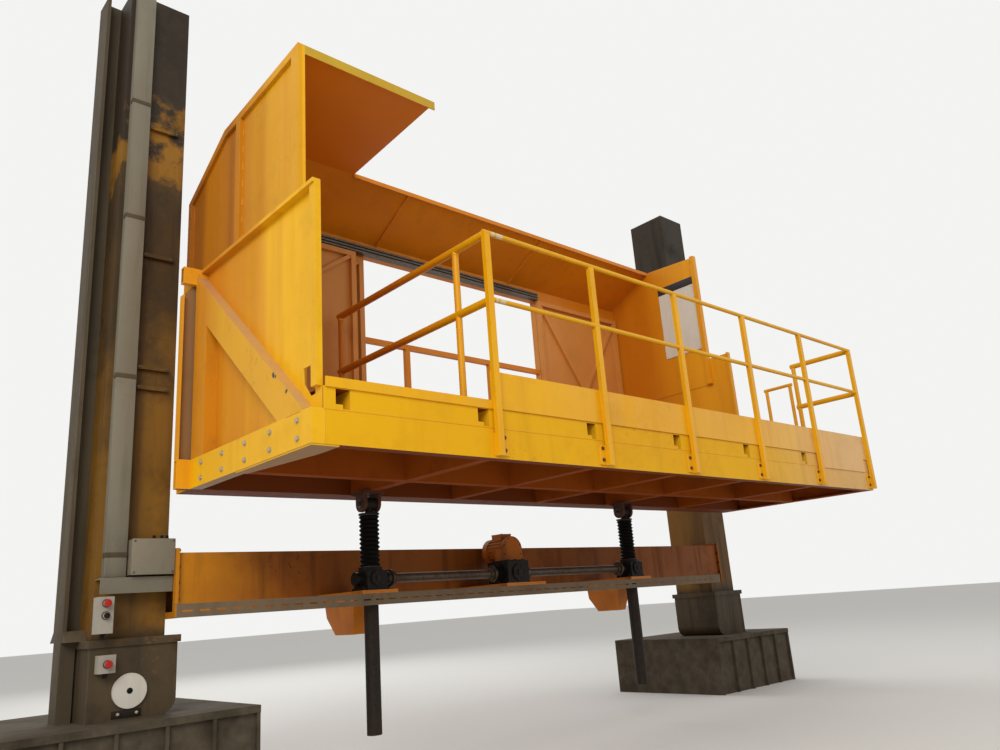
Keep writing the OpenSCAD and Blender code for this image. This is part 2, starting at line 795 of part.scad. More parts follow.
module drive_gearbox() color(C_DARK) on_plat() {
    y = jack_y - drive_y / 2;
    h = gear_h + 10;
    bar([drive_x, y, gear_bot], [drive_l, drive_y, h]);
    bar([drive_x + 18, y + 18, gear_bot + h], [drive_l - 36, drive_y - 36, 8]);
    pipe_x(drive_x - hub_l, jack_y, shaft_z, 120, drive_l + 2 * hub_l);
    pipe_x(drive_x - 12, jack_y, shaft_z, 140, drive_l + 24);
    pipe_y(drive_x + drive_l / 2, y - 10, shaft_z, 120, 20);
}

// ribbed motor on a plate behind the middle gearbox
module drive_motor() color(C_YELLOW) on_plat() {
    y = jack_y + drive_y / 2;
    n = 20;
    yb = y + motor_t + motor_l;
    xz(y, motor_t) union() {
        translate([motor_x, motor_z]) circle(r = motor_r, $fn = 64);
        translate([motor_x - motor_foot, gear_bot]) square([motor_foot + motor_r, motor_z - gear_bot]);
    }
    xz(y + motor_t, motor_l) translate([motor_x, motor_z]) intersection() {
        circle(d = motor_d, $fn = 64);
        union() {
            circle(d = motor_d - 26, $fn = 64);
            for (i = [0 : n - 1]) rotate(i * 360 / n) translate([0, -3]) square([motor_d, 6]);
        }
    }
    pipe_y(motor_x, yb, motor_z, motor_d, 50);
    bar([motor_x - 50, yb - 135, motor_z + motor_d / 2 - 18], [100, 110, 40]);
}

// shafts between the gearboxes with flanged couplings
module line_shafts() color(C_STEEL) on_plat() {
    spans = [[jack_x1 + gear_l / 2, drive_x - hub_l], [drive_x + drive_l + hub_l, jack_x2 - gear_l / 2]];
    for (s = spans) {
        pipe_x(s[0], jack_y, shaft_z, shaft_d, s[1] - s[0]);
        for (x = [s[0], s[1] - 60]) {
            pipe_x(x, jack_y, shaft_z, shaft_d + 22, 60);
            pipe_x(x + 22, jack_y, shaft_z, shaft_d + 52, 16);
        }
    }
}

// Cross beam and columns

module cross_beam() color(C_YELLOW) on_plat() {
    len = col_x2 - col_x1;
    z = beam_top - beam_h;
    o = end_plate_out;
    difference() {
        union() {
            bar([col_x1, beam_y, z], [len, beam_w, beam_h]);
            for (x = [col_x1, col_x2 - end_plate_t])
                bar([x, beam_y - o, z - o], [end_plate_t, beam_w + 2 * o, beam_h + 2 * o]);
        }
        bar([col_x1 - 1, beam_y + beam_t, z + beam_t], [len + 2, beam_w - 2 * beam_t, beam_h - 2 * beam_t]);
    }
}

module cable_tray() color(C_GREY) on_plat() {
    xa = -tray_out;
    xb = jack_x2 + tray_end;
    n = floor((xb - xa - 60 - slot_l) / slot_pitch);
    difference() {
        bar([xa, shelf_y, tray_top - tray_h], [xb - xa, tray_d, tray_h]);
        bar([xa - 1, shelf_y + 4, tray_top - tray_h + 4], [xb - xa + 2, tray_d, tray_h - 8]);
        for (i = [0 : n])
            bar([xa + 30 + i * slot_pitch, shelf_y - 1, tray_top - tray_h + 28], [slot_l, 6, 9]);
    }
}

module column(x) {
    difference() {
        bar([x, col_y, foot_top], [col_w, col_d, col_top - foot_top]);
        bar([x + col_t, col_y + col_t, foot_top + 20], [col_w - 2 * col_t, col_d - 2 * col_t, col_top]);
    }
}

// foot block with a ledge, wider towards the beam
module foot(x, inner) {
    r = 90;
    xa = inner > 0 ? x - 20 : x - 56;
    w = col_w + 76;
    bar([xa - 14, col_y - 75, foot_top - 40], [w + 28, col_d + 90, 40]);
    xz(col_y - 60, col_d + 60) difference() {
        translate([xa, foot_bot]) square([w, foot_h - 40]);
        translate([inner > 0 ? xa + w - r : xa, foot_bot]) difference() {
            translate([inner > 0 ? 0 : -1, -1]) square([r + 1, r + 1]);
            translate([inner > 0 ? 0 : r, r]) circle(r = r, $fn = 64);
        }
    }
}

module column_left() color(C_BROWN) on_plat() {
    column(col_x1 - col_w);
    foot(col_x1 - col_w, 1);
    for (z = clamp_z)
        bar([col_x1 - 240, col_y - 26, z], [190, 26, 26]);
}

module column_right() color(C_BROWN) on_plat() {
    column(col_x2);
    foot(col_x2, -1);
}

// rail on the outer side of a column, on a flared base
module guide_rail(x, s) {
    y = col_y + 150;
    web = 90;
    xw = s > 0 ? x : x - web;
    xf = s > 0 ? x + web : x - web - 22;
    bar([xw, y + 84, foot_top + 60], [web, 12, col_top - foot_top - 60]);
    bar([xf, y, foot_top + 60], [22, 180, col_top - foot_top - 60]);
    xb = s > 0 ? x : x - web - 22;
    yz(xb, web + 22) polygon([[y - 60, foot_top], [y + 240, foot_top], [y + 180, foot_top + 60], [y, foot_top + 60]]);
    xp = s > 0 ? x + 34 : x - web - 22;
    bar([xp, y + 20, foot_bot], [web - 12, 140, foot_h]);
}

module guide_rails() color(C_GREY) on_plat() {
    guide_rail(col_x1 - col_w, -1);
    guide_rail(col_x2 + col_w, 1);
}

trunk_x = col_x1 - col_w + trunk_in;
shelf_top = foot_top + shelf_up;

module cable_trunking() color(C_GREY) on_plat() {
    bar([trunk_x, col_y - trunk_d, shelf_top], [trunk_w, trunk_d, col_top - 40 - shelf_top]);
    bar([col_x1 - col_w, col_y - cable_out, shelf_top - 8], [col_w, cable_out, 8]);
    bar([col_x1 - col_w, col_y - cable_out, shelf_top - 88], [col_w, 8, 80]);
}

module control_boxes() color(C_GREY) on_plat() {
    bar([col_x1 - 245, col_y - 120, shelf_top + 12], [240, 120, 200]);
    x = col_x1 - col_w;
    bar([x - 22, col_y - 165, shelf_top - 300], [button_w, 90, 195]);
    bar([x + 4, col_y - 75, shelf_top - 270], [button_w - 34, 75, 110]);
    bar([x + 8, col_y - 130, foot_top - 175], [button_w + 6, 70, 95]);
    // push buttons, two above and one below
    for (z = [shelf_top - 140, shelf_top - 205])
        pipe_y(x - 22 + button_w / 2, col_y - 183, z, 34, 18);
    pipe_y(x + 11 + button_w / 2, col_y - 148, foot_top - 128, 34, 18);
}

module hub_cover() color(C_WHITE) on_plat() {
    translate([col_x1 - 205, col_y - 60, foot_bot + 150]) rotate([90, 0, 0]) difference() {
        cylinder(d = 186, h = 14, $fn = 96);
        translate([0, 0, -1]) cylinder(d = 22, h = 16, $fn = 32);
    }
}

// ribbed foundation kerb under a column
module plinth(cx) {
    x = cx - plinth_l / 2;
    z = -plat_z;
    bar([x, plinth_y + 30, z], [plinth_l, plinth_d - 30, plinth_h]);
    bar([x, plinth_y, z + plinth_h - 40], [plinth_l, 30, 40]);
    n = floor((plinth_l - 20) / 230);
    for (i = [0 : n])
        bar([x + i * (plinth_l - 20) / n, plinth_y + 5, z], [20, 25, plinth_h - 40]);
}

module plinths() color(C_STONE) on_plat() {
    plinth(col_x1 - col_w / 2);
    plinth(col_x2 + col_w / 2);
}

front_beam();
rear_beam();
cross_channels();
deck_stringers();
deck_joists();
deck_plate();
toe_board();
guard_posts();
guard_rails();
side_rails();
back_rails();
end_sill();
end_brace();
rear_corner_post();
end_shield();
end_panel();
station_post();
canopy();
hood();
door_header();
door_track();
door_leaves();
door_jambs();
end_wall();
end_wall_skirt();
notice_board();
jack_lugs();
jack_screws();
bellows_left();
bellows_right();
jack_gearboxes();
jack_tubes();
jack_consoles();
drive_gearbox();
drive_motor();
line_shafts();
cross_beam();
cable_tray();
column_left();
column_right();
guide_rails();
cable_trunking();
control_boxes();
hub_cover();
plinths();
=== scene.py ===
"""Dressed model of a hooded work platform that two screw jacks lift between two columns.

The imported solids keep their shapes. This script gives them paint, steel, rubber and concrete, and adds
what the solids leave out: bolts, weld beads, bellows folds, lids, glands, straps and buttons.
"""

import logging
import math
from collections.abc import Iterable
from dataclasses import dataclass, replace
from enum import Enum
from itertools import pairwise, product

import bmesh
import bpy
from mathutils import Matrix, Vector


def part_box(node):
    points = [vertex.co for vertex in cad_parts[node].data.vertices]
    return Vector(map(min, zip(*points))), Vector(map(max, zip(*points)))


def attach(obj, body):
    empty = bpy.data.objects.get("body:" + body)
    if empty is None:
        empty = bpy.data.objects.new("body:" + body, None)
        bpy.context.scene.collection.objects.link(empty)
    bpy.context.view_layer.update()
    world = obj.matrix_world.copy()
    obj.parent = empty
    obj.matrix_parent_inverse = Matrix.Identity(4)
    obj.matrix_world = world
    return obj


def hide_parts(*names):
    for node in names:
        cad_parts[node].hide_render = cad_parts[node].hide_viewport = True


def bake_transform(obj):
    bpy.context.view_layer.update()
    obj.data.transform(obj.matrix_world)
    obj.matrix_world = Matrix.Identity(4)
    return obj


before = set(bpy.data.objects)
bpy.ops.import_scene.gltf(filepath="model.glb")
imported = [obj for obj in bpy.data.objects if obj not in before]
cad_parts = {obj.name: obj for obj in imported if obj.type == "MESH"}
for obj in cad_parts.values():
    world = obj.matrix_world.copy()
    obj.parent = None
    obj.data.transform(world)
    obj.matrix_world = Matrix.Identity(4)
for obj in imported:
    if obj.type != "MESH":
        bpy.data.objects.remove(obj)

LOG = logging.getLogger("work_platform")
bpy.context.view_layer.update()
CORNER = Vector((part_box("end_sill")[0].x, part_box("front_beam")[0].y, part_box("front_beam")[0].z))
UP, DOWN = Vector((0, 0, 1)), Vector((0, 0, -1))
FRONT, BACK = Vector((0, -1, 0)), Vector((0, 1, 0))
LEFT, RIGHT = Vector((-1, 0, 0)), Vector((1, 0, 0))

Colour = tuple[float, float, float]
Point = tuple[float, float, float]
Pair = tuple[float, float]
Socket = bpy.types.NodeSocket
Amount = float | Socket
Tint = Colour | Socket


class Body(Enum):
    """The two bodies of the part, by their packed names."""

    STAND = "stand"
    PLATFORM = "platform"


class Slot(Enum):
    """The record's material slots."""

    PLATFORM = "platform_paint"
    SHADED = "shaded_paint"
    BEAM = "beam_paint"
    COLUMN = "column_paint"
    STEEL = "bare_steel"
    MACHINE = "machine_black"
    RUBBER = "bellows_rubber"
    GREY = "grey_paint"
    WHITE = "white_paint"
    CONCRETE = "kerb_concrete"


class Axis(Enum):
    """The axes that a tinted stretch of a surface can run along."""

    X = 0
    Y = 1
    Z = 2


def spot(x: float, y: float, z: float) -> Vector:
    """Returns a point counted from the platform's front left bottom corner, in metres."""
    return CORNER + Vector((x, y, z))


def srgb(red: int, green: int, blue: int) -> Colour:
    """Turns a screen colour into the linear one that a shader takes.

    Args:
        red: Red from 0 to 255.
        green: Green from 0 to 255.
        blue: Blue from 0 to 255.

    Returns:
        The linear colour.
    """
    def linear(value: int) -> float:
        """Undoes the screen's curve for one channel."""
        share = value / 255
        return share / 12.92 if share <= 0.04045 else ((share + 0.055) / 1.055) ** 2.4

    return linear(red), linear(green), linear(blue)


# Node trees


class Tree:
    """Adds and joins shader nodes in short calls."""

    def __init__(self, nodes_of: bpy.types.NodeTree) -> None:
        """Keeps the tree that the nodes go in."""
        self.tree = nodes_of

    def add(self, kind: str, settings: dict | None = None, **sockets) -> bpy.types.Node:
        """Adds one node.

        Args:
            kind: The node's type name without its Shader prefix.
            settings: Properties of the node itself.
            **sockets: Values or sockets for its inputs, by name with _ for a space, or in_0 and so on.

        Returns:
            The new node.
        """
        node = self.tree.nodes.new("ShaderNode" + kind)
        for key, value in (settings or {}).items():
            setattr(node, key, value)
        for key, value in sockets.items():
            socket = node.inputs[int(key[3:]) if key.startswith("in_") else key.replace("_", " ")]
            if isinstance(value, Socket):
                self.tree.links.new(value, socket)
            elif isinstance(value, tuple) and len(value) == 3 and socket.type == "RGBA":
                socket.default_value = (*value, 1.0)
            else:
                socket.default_value = value
        return node

    def noise(self, vector: Socket, scale: float, detail: float = 4.0,
              rough: float = 0.55) -> Socket:
        """Returns the value of a noise on the given vector."""
        return self.add("TexNoise", Vector=vector, Scale=scale, Detail=detail, Roughness=rough).outputs[0]

    def stretch(self, vector: Socket, scale: Point) -> Socket:
        """Returns the vector scaled along its axes."""
        return self.add("Mapping", Vector=vector, Scale=scale).outputs[0]

    def ramp(self, value: Socket, low: float, high: float,
             to_low: float = 0.0, to_high: float = 1.0) -> Socket:
        """Returns the value spread from low..high onto another range, clamped."""
        return self.add("MapRange", Value=value, From_Min=low, From_Max=high,
                        To_Min=to_low, To_Max=to_high).outputs[0]

    def maths(self, operation: str, a: Amount, b: Amount = 0.0) -> Socket:
        """Returns the result of one sum on two values or sockets, kept between 0 and 1."""
        return self.add("Math", {"operation": operation, "use_clamp": True}, in_0=a, in_1=b).outputs[0]

    def times(self, *factors: Amount) -> Socket:
        """Returns the product of two or more values or sockets."""
        product = factors[0]
        for factor in factors[1:]:
            product = self.maths("MULTIPLY", product, factor)
        return product

    def facing(self, normal: Socket, way: Point | Socket) -> Socket:
        """Returns how far a normal looks one way, given as a value or a socket, up to 1."""
        return self.add("VectorMath", {"operation": "DOT_PRODUCT"}, in_0=normal, in_1=way).outputs[1]

    def mix(self, share: Amount, a: Tint, b: Tint) -> Socket:
        """Returns colour a turning into colour b as the share goes from 0 to 1."""
        node = self.add("Mix", {"data_type": "RGBA"}, in_0=share)
        for index, value in ((6, a), (7, b)):
            if isinstance(value, Socket):
                self.tree.links.new(value, node.inputs[index])
            else:
                node.inputs[index].default_value = (*value, 1.0)
        return node.outputs[2]


class ShaderGroup:
    """A named node group with its own inputs and outputs, built once."""

    def __init__(self, name: str, inputs: dict[str, str], outputs: dict[str, str]) -> None:
        """Makes the group and its sockets.

        Args:
            name: The group's name.
            inputs: Socket type by input name.
            outputs: Socket type by output name.
        """
        self.group = bpy.data.node_groups.new(name, "ShaderNodeTree")
        for label, kind in inputs.items():
            self.group.interface.new_socket(name=label, in_out="INPUT", socket_type="NodeSocket" + kind)
        for label, kind in outputs.items():
            self.group.interface.new_socket(name=label, in_out="OUTPUT", socket_type="NodeSocket" + kind)
        self.tree = Tree(self.group)
        self.inside = self.group.nodes.new("NodeGroupInput").outputs
        self.result = self.group.nodes.new("NodeGroupOutput").inputs

    def put(self, label: str, socket: Socket) -> None:
        """Joins a socket to the group's output of that name."""
        self.group.links.new(socket, self.result[label])


def weather_group() -> bpy.types.NodeTree:
    """Builds the fading, grime, chips and dust of painted steel, and bands, pale edges and undersides that
    carry painted shade and highlight.

    Returns:
        The node group.
    """
    colours = ("Paint", "Faded", "Band", "Grime", "Bare", "Worn", "Dust", "Under")
    amounts = ("Fade Amount", "Band Amount", "Grime Amount", "Streak Amount", "Chip Amount", "Edge Amount",
               "Dust Amount", "Under Amount")
    made = ShaderGroup(
        "weathering",
        {"Place": "Vector", "Up": "Float", "Edge": "Float", **dict.fromkeys(colours, "Color"),
         **dict.fromkeys(amounts, "Float"), "Gloss": "Float"},
        {"Color": "Color", "Roughness": "Float", "Metallic": "Float", "Height": "Float"})
    tree, given = made.tree, made.inside
    place = given["Place"]
    cloud = tree.ramp(tree.noise(place, 0.9, 5), 0.38, 0.62)
    colour = tree.mix(tree.times(cloud, given["Fade Amount"]), given["Paint"], given["Faded"])
    # Vertical bands: partly roller marks, partly painted shade of the sheet's shallow buckling.
    bands = tree.ramp(tree.noise(tree.stretch(place, (3.4, 3.4, 0.12)), 1.0, 2.0), 0.47, 0.62)
    colour = tree.mix(tree.times(bands, given["Band Amount"]), colour, given["Band"])
    streak = tree.ramp(tree.noise(tree.stretch(place, (7.0, 7.0, 0.55)), 1.6, 5), 0.52, 0.78)
    spots = tree.ramp(tree.noise(place, 2.6, 8, 0.68), 0.52, 0.76)
    dirt = tree.maths("MAXIMUM", tree.times(streak, given["Streak Amount"]),
                      tree.times(spots, given["Grime Amount"]))
    colour = tree.mix(dirt, colour, given["Grime"])
    # Pale edges: partly paint wear, partly a painted edge highlight.
    edge_wear_and_highlight = tree.times(tree.ramp(given["Edge"], 0.04, 0.22),
                        tree.ramp(tree.noise(place, 7.0, 6), 0.36, 0.58), given["Edge Amount"])
    colour = tree.mix(edge_wear_and_highlight, colour, given["Worn"])
    patch = tree.ramp(tree.noise(place, 1.9, 3), 0.50, 0.70)
    flakes = tree.ramp(tree.noise(place, 31.0, 5, 0.62), 0.60, 0.64)
    chip = tree.times(flakes, patch, given["Chip Amount"])
    colour = tree.mix(chip, colour, given["Bare"])
    lying = tree.times(tree.ramp(given["Up"], 0.45, 0.9),
                       tree.ramp(tree.noise(place, 3.4, 6), 0.30, 0.60, 0.55, 1.0), given["Dust Amount"])
    colour = tree.mix(lying, colour, given["Dust"])
    # The Under colour over faces that look down: painted shade on most finishes, a grey-brown on the sill.
    below = tree.times(tree.ramp(given["Up"], -0.35, -0.75), given["Under Amount"])
    made.put("Color", tree.mix(below, colour, given["Under"]))
    rough = tree.maths("ADD", given["Gloss"], tree.times(dirt, 0.35))
    rough = tree.maths("ADD", rough, tree.times(lying, 0.45))
    rough = tree.maths("ADD", rough, tree.times(tree.noise(place, 14.0, 3), 0.12))
    made.put("Roughness", rough)
    made.put("Metallic", tree.times(chip, 0.5))
    fine = tree.times(tree.noise(place, 160.0, 2), 0.12)
    made.put("Height", tree.maths("SUBTRACT", tree.maths("ADD", fine, 0.6), tree.times(chip, 0.5)))
    return made.group


def ripple_group() -> bpy.types.NodeTree:
    """Builds the shallow buckling of thin welded sheet.

    Returns:
        The node group.
    """
    made = ShaderGroup("sheet_ripple", {"Place": "Vector", "Depth": "Float"}, {"Height": "Float"})
    tree, given = made.tree, made.inside
    wide = tree.noise(tree.stretch(given["Place"], (2.4, 2.4, 0.55)), 1.0, 1.0)
    made.put("Height", tree.times(wide, given["Depth"]))
    return made.group


def speckle_group() -> bpy.types.NodeTree:
    """Builds the mottling of bare steel, castings, rubber and concrete.

    Returns:
        The node group.
    """
    made = ShaderGroup(
        "speckle",
        {"Place": "Vector", "Up": "Float", "Main": "Color", "Second": "Color", "Stain": "Color",
         "Dust": "Color", "Grain Scale": "Float", "Stain Amount": "Float", "Dust Amount": "Float",
         "Base Roughness": "Float"},
        {"Color": "Color", "Roughness": "Float", "Height": "Float"})
    tree, given = made.tree, made.inside
    place = given["Place"]
    grain = tree.add("TexNoise", Vector=place, Scale=given["Grain Scale"], Detail=6.0,
                     Roughness=0.65).outputs[0]
    colour = tree.mix(tree.ramp(grain, 0.35, 0.65), given["Main"], given["Second"])
    stain = tree.times(tree.ramp(tree.noise(place, 2.1, 7, 0.65), 0.48, 0.72), given["Stain Amount"])
    colour = tree.mix(stain, colour, given["Stain"])
    lying = tree.times(tree.ramp(given["Up"], 0.5, 0.9), given["Dust Amount"])
    made.put("Color", tree.mix(lying, colour, given["Dust"]))
    made.put("Roughness", tree.maths("ADD", given["Base Roughness"], tree.times(stain, 0.25)))
    made.put("Height", grain)
    return made.group


GROUPS = {"weathering": weather_group(), "ripple": ripple_group(), "speckle": speckle_group()}


# Finishes


def start_material(name: str) -> tuple[bpy.types.Material, Tree, bpy.types.Node]:
    """Starts a material with one shader.

    Args:
        name: The material's name.

    Returns:
        The material, its tree and its shader.
    """
    material = bpy.data.materials.new(name)
    material.use_nodes = True
    return material, Tree(material.node_tree), material.node_tree.nodes["Principled BSDF"]


def lay_bump(tree: Tree, height: Socket, strength: float, distance: float,
             under: Socket | None = None) -> Socket:
    """Adds a bump and returns its normal.

    Args:
        tree: The material's tree.
        height: The height that makes the bump.
        strength: How much of it shows.
        distance: How deep it is, in metres.
        under: The normal of a bump that lies below it.

    Returns:
        The bumped normal.
    """
    node = tree.add("Bump", Height=height, Strength=strength, Distance=distance)
    if under is not None:
        tree.tree.links.new(under, node.inputs["Normal"])
    return node.outputs[0]


@dataclass(frozen=True)
class Zone:
    """A stretch of a surface that takes another colour, counted from the platform's corner in metres."""

    axis: Axis
    start: float
    end: float
    colour: Colour
    amount: float = 1.0
    way: Point | None = None
    ragged: float = 0.0

    def lay(self, tree: Tree, place: Socket, normal: Socket, colour: Tint) -> Socket:
        """Mixes the zone's colour over another one.

        Args:
            tree: The material's tree.
            place: The object coordinates.
            normal: The surface's normal.
            colour: The colour below, as a value or a socket.

        Returns:
            The mixed colour.
        """
        along = tree.add("SeparateXYZ", Vector=place).outputs[self.axis.value]
        base = CORNER[self.axis.value]
        if self.ragged:
            shift = tree.ramp(tree.noise(place, 2.3, 7, 0.62), 0.3, 0.7, -self.ragged / 2, self.ragged / 2)
            along = tree.add("Math", {"operation": "ADD"}, in_0=along, in_1=shift).outputs[0]
        share = tree.times(tree.ramp(along, base + self.start, base + self.end), self.amount)
        if self.way is not None:
            share = tree.times(share, tree.ramp(tree.facing(normal, self.way), 0.3, 0.6))
        return tree.mix(share, colour, self.colour)


@dataclass(frozen=True)
class Paint:
    """Worn paint on steel, with painted shade and painted highlights where a finish sets them."""

    name: str
    slot: Slot
    paint: Colour
    faded: Colour
    # Colour of vertical bands, partly roller marks and partly painted shade of buckled sheet.
    band: Colour = srgb(206, 128, 20)
    grime: Colour = srgb(96, 60, 26)
    bare: Colour = srgb(80, 58, 40)
    # Pale edge colour: partly paint wear, partly a painted edge highlight.
    edge_wear_highlight_colour: Colour = srgb(236, 196, 112)
    dust: Colour = srgb(186, 146, 96)
    # Colour over faces that look down: painted shade on most finishes, a grey-brown on the sill.
    under: Colour = srgb(120, 56, 18)
    fade_amount: float = 0.5
    band_amount: float = 0.0
    grime_amount: float = 0.2
    streak_amount: float = 0.15
    chip_amount: float = 0.25
    edge_amount: float = 0.4
    edge_width: float = 0.005
    dust_amount: float = 0.55
    under_amount: float = 0.0
    gloss: float = 0.36
    shine: float = 0.25
    ripple: float = 0.0
    zones: tuple[Zone, ...] = ()

    def material(self) -> bpy.types.Material:
        """Makes the finish's material, once.

        Returns:
            The material.
        """
        if self.name in bpy.data.materials:
            return bpy.data.materials[self.name]
        material, tree, shader = start_material(self.name)
        place = tree.add("TexCoord").outputs["Object"]
        normal = tree.add("NewGeometry").outputs["Normal"]
        rounded = tree.add("Bevel", {"samples": 4}, Radius=self.edge_width).outputs[0]
        turn = tree.facing(rounded, normal)
        paint, faded = self.paint, self.faded
        for zone in self.zones:
            paint = zone.lay(tree, place, normal, paint)
            faded = zone.lay(tree, place, normal, faded)
        wear = tree.add(
            "Group", {"node_tree": GROUPS["weathering"]}, Place=place,
            Up=tree.add("SeparateXYZ", Vector=normal).outputs[2], Edge=tree.maths("SUBTRACT", 1.0, turn),
            Paint=paint, Faded=faded, Band=self.band, Grime=self.grime, Bare=self.bare, Worn=self.edge_wear_highlight_colour,
            Dust=self.dust, Under=self.under, Fade_Amount=self.fade_amount, Band_Amount=self.band_amount,
            Grime_Amount=self.grime_amount, Streak_Amount=self.streak_amount,
            Chip_Amount=self.chip_amount, Edge_Amount=self.edge_amount, Dust_Amount=self.dust_amount,
            Under_Amount=self.under_amount, Gloss=self.gloss)
        tree.tree.links.new(wear.outputs["Color"], shader.inputs["Base Color"])
        for label in ("Roughness", "Metallic"):
            tree.tree.links.new(wear.outputs[label], shader.inputs[label])
        bumped = None
        if self.ripple:
            wave = tree.add("Group", {"node_tree": GROUPS["ripple"]}, Place=place, Depth=1.0)
            bumped = lay_bump(tree, wave.outputs["Height"], 1.0, self.ripple)
        bumped = lay_bump(tree, wear.outputs["Height"], 0.25, 0.0015, bumped)
        tree.tree.links.new(bumped, shader.inputs["Normal"])
        shader.inputs["Specular IOR Level"].default_value = self.shine
        return material


@dataclass(frozen=True)
class Raw:
    """Unpainted steel, castings, rubber or concrete."""

    name: str
    slot: Slot
    main: Colour
    second: Colour
    stain: Colour
    dust: Colour = srgb(110, 96, 78)
    grain: float = 24.0
    stain_amount: float = 0.4
    dust_amount: float = 0.3
    roughness: float = 0.5
    metallic: float = 0.0
    shine: float = 0.25
    bump: float = 0.002

    def material(self) -> bpy.types.Material:
        """Makes the finish's material, once.

        Returns:
            The material.
        """
        if self.name in bpy.data.materials:
            return bpy.data.materials[self.name]
        material, tree, shader = start_material(self.name)
        place = tree.add("TexCoord").outputs["Object"]
        up = tree.add("SeparateXYZ", Vector=tree.add("NewGeometry").outputs["Normal"]).outputs[2]
        look = tree.add(
            "Group", {"node_tree": GROUPS["speckle"]}, Place=place, Up=up, Main=self.main,
            Second=self.second, Stain=self.stain, Dust=self.dust, Grain_Scale=self.grain,
            Stain_Amount=self.stain_amount, Dust_Amount=self.dust_amount, Base_Roughness=self.roughness)
        tree.tree.links.new(look.outputs["Color"], shader.inputs["Base Color"])
        tree.tree.links.new(look.outputs["Roughness"], shader.inputs["Roughness"])
        bumped = lay_bump(tree, look.outputs["Height"], 0.35, self.bump)
        tree.tree.links.new(bumped, shader.inputs["Normal"])
        shader.inputs["Metallic"].default_value = self.metallic
        shader.inputs["Specular IOR Level"].default_value = self.shine
        return material


Finish = Paint | Raw

# Painted shade on the inner and downward faces of the frame's members.
PAINTED_INNER_SHADE = srgb(112, 50, 12)
# Painted sheen: a pale pinkish reflection toward the right end of the front beam and toe board.
PAINTED_END_SHEEN = Zone(Axis.X, 3.7, 5.4, srgb(214, 178, 138), 0.6)

YELLOW = Paint("yellow_paint", Slot.PLATFORM, srgb(230, 170, 6), srgb(220, 152, 8), dust_amount=0.35)
# Side rails: painted shade, orange toward the back, then plain yellow again past X 3.5.
YELLOW_SIDE = replace(YELLOW, name="side_rail_paint", zones=(
    Zone(Axis.Y, 0.10, 0.90, srgb(186, 96, 14), 0.85), Zone(Axis.X, 3.0, 3.5, srgb(226, 162, 8))))
# Front beam: painted shade on faces that look down and on faces looking back past Y 0.0094, painted sheen
# toward its right end.
YELLOW_BEAM = Paint(
    "yellow_beam_paint", Slot.PLATFORM, srgb(228, 172, 12), srgb(218, 154, 12), under=PAINTED_INNER_SHADE,
    under_amount=1.0, gloss=0.5, shine=0.14,
    zones=(PAINTED_END_SHEEN, Zone(Axis.Y, 0.0092, 0.0096, PAINTED_INNER_SHADE, way=(0.0, 1.0, 0.0))))
# Sill: grey-brown on faces that look down, painted shade on faces looking right past X 0.0094.
YELLOW_SILL = Paint(
    "yellow_sill_paint", Slot.PLATFORM, srgb(234, 178, 12), srgb(228, 162, 14), under=srgb(158, 122, 84),
    under_amount=1.0, zones=(Zone(Axis.X, 0.0092, 0.0096, PAINTED_INNER_SHADE, way=(1.0, 0.0, 0.0)),))
# Rear beam: painted shade on faces that look down and on front faces past X 0.07.
YELLOW_REAR = Paint(
    "yellow_rear_paint", Slot.PLATFORM, srgb(226, 158, 22), srgb(210, 136, 22), under=PAINTED_INNER_SHADE,
    under_amount=1.0, gloss=0.5, shine=0.14,
    zones=(Zone(Axis.X, 0.069, 0.071, PAINTED_INNER_SHADE, way=(0.0, -1.0, 0.0)),))
# Toe board: painted sheen toward its right end.
YELLOW_TOE = Paint(
    "yellow_toe_paint", Slot.PLATFORM, srgb(230, 170, 10), srgb(218, 150, 12), dust=srgb(196, 168, 124),
    dust_amount=0.9, ripple=0.05, chip_amount=0.12, zones=(PAINTED_END_SHEEN,))
# Shield: painted shade, darker orange toward the back; its bands are partly painted shade of the buckled
# sheet.
YELLOW_SHIELD = Paint(
    "yellow_shield_paint", Slot.PLATFORM, srgb(234, 178, 8), srgb(226, 162, 10), band_amount=0.55,
    ripple=0.05, chip_amount=0.1, zones=(Zone(Axis.Y, 0.60, 1.20, srgb(196, 116, 12), 0.85),))
# Upper panel: painted shadow, brown toward the back; its bands are partly painted shade.
YELLOW_PANEL = Paint(
    "yellow_panel_paint", Slot.PLATFORM, srgb(216, 156, 8), srgb(204, 138, 10), band=srgb(196, 122, 12),
    band_amount=0.6, ripple=0.04, chip_amount=0.1,
    zones=(Zone(Axis.Y, 0.78, 1.15, srgb(146, 78, 14), 0.9),))
# End brace: real dust on top, painted shade in orange toward the back.
DUSTY_SHADED_YELLOW = Paint(
    "yellow_dusty_paint", Slot.PLATFORM, srgb(222, 164, 28), srgb(208, 146, 28), dust=srgb(176, 146, 116),
    dust_amount=1.0, chip_amount=0.4, zones=(Zone(Axis.Y, 1.00, 1.25, srgb(196, 118, 24), 0.7),))
# Rear corner post: painted shade in grey-brown on its recessed web, the faces looking front past Y 1.434.
YELLOW_POST = Paint(
    "yellow_rear_post_paint", Slot.PLATFORM, srgb(222, 154, 28), srgb(206, 134, 28),
    dust=srgb(170, 140, 108),
    zones=(Zone(Axis.Y, 1.432, 1.436, srgb(132, 100, 72), 0.9, way=(0.0, -1.0, 0.0)),))
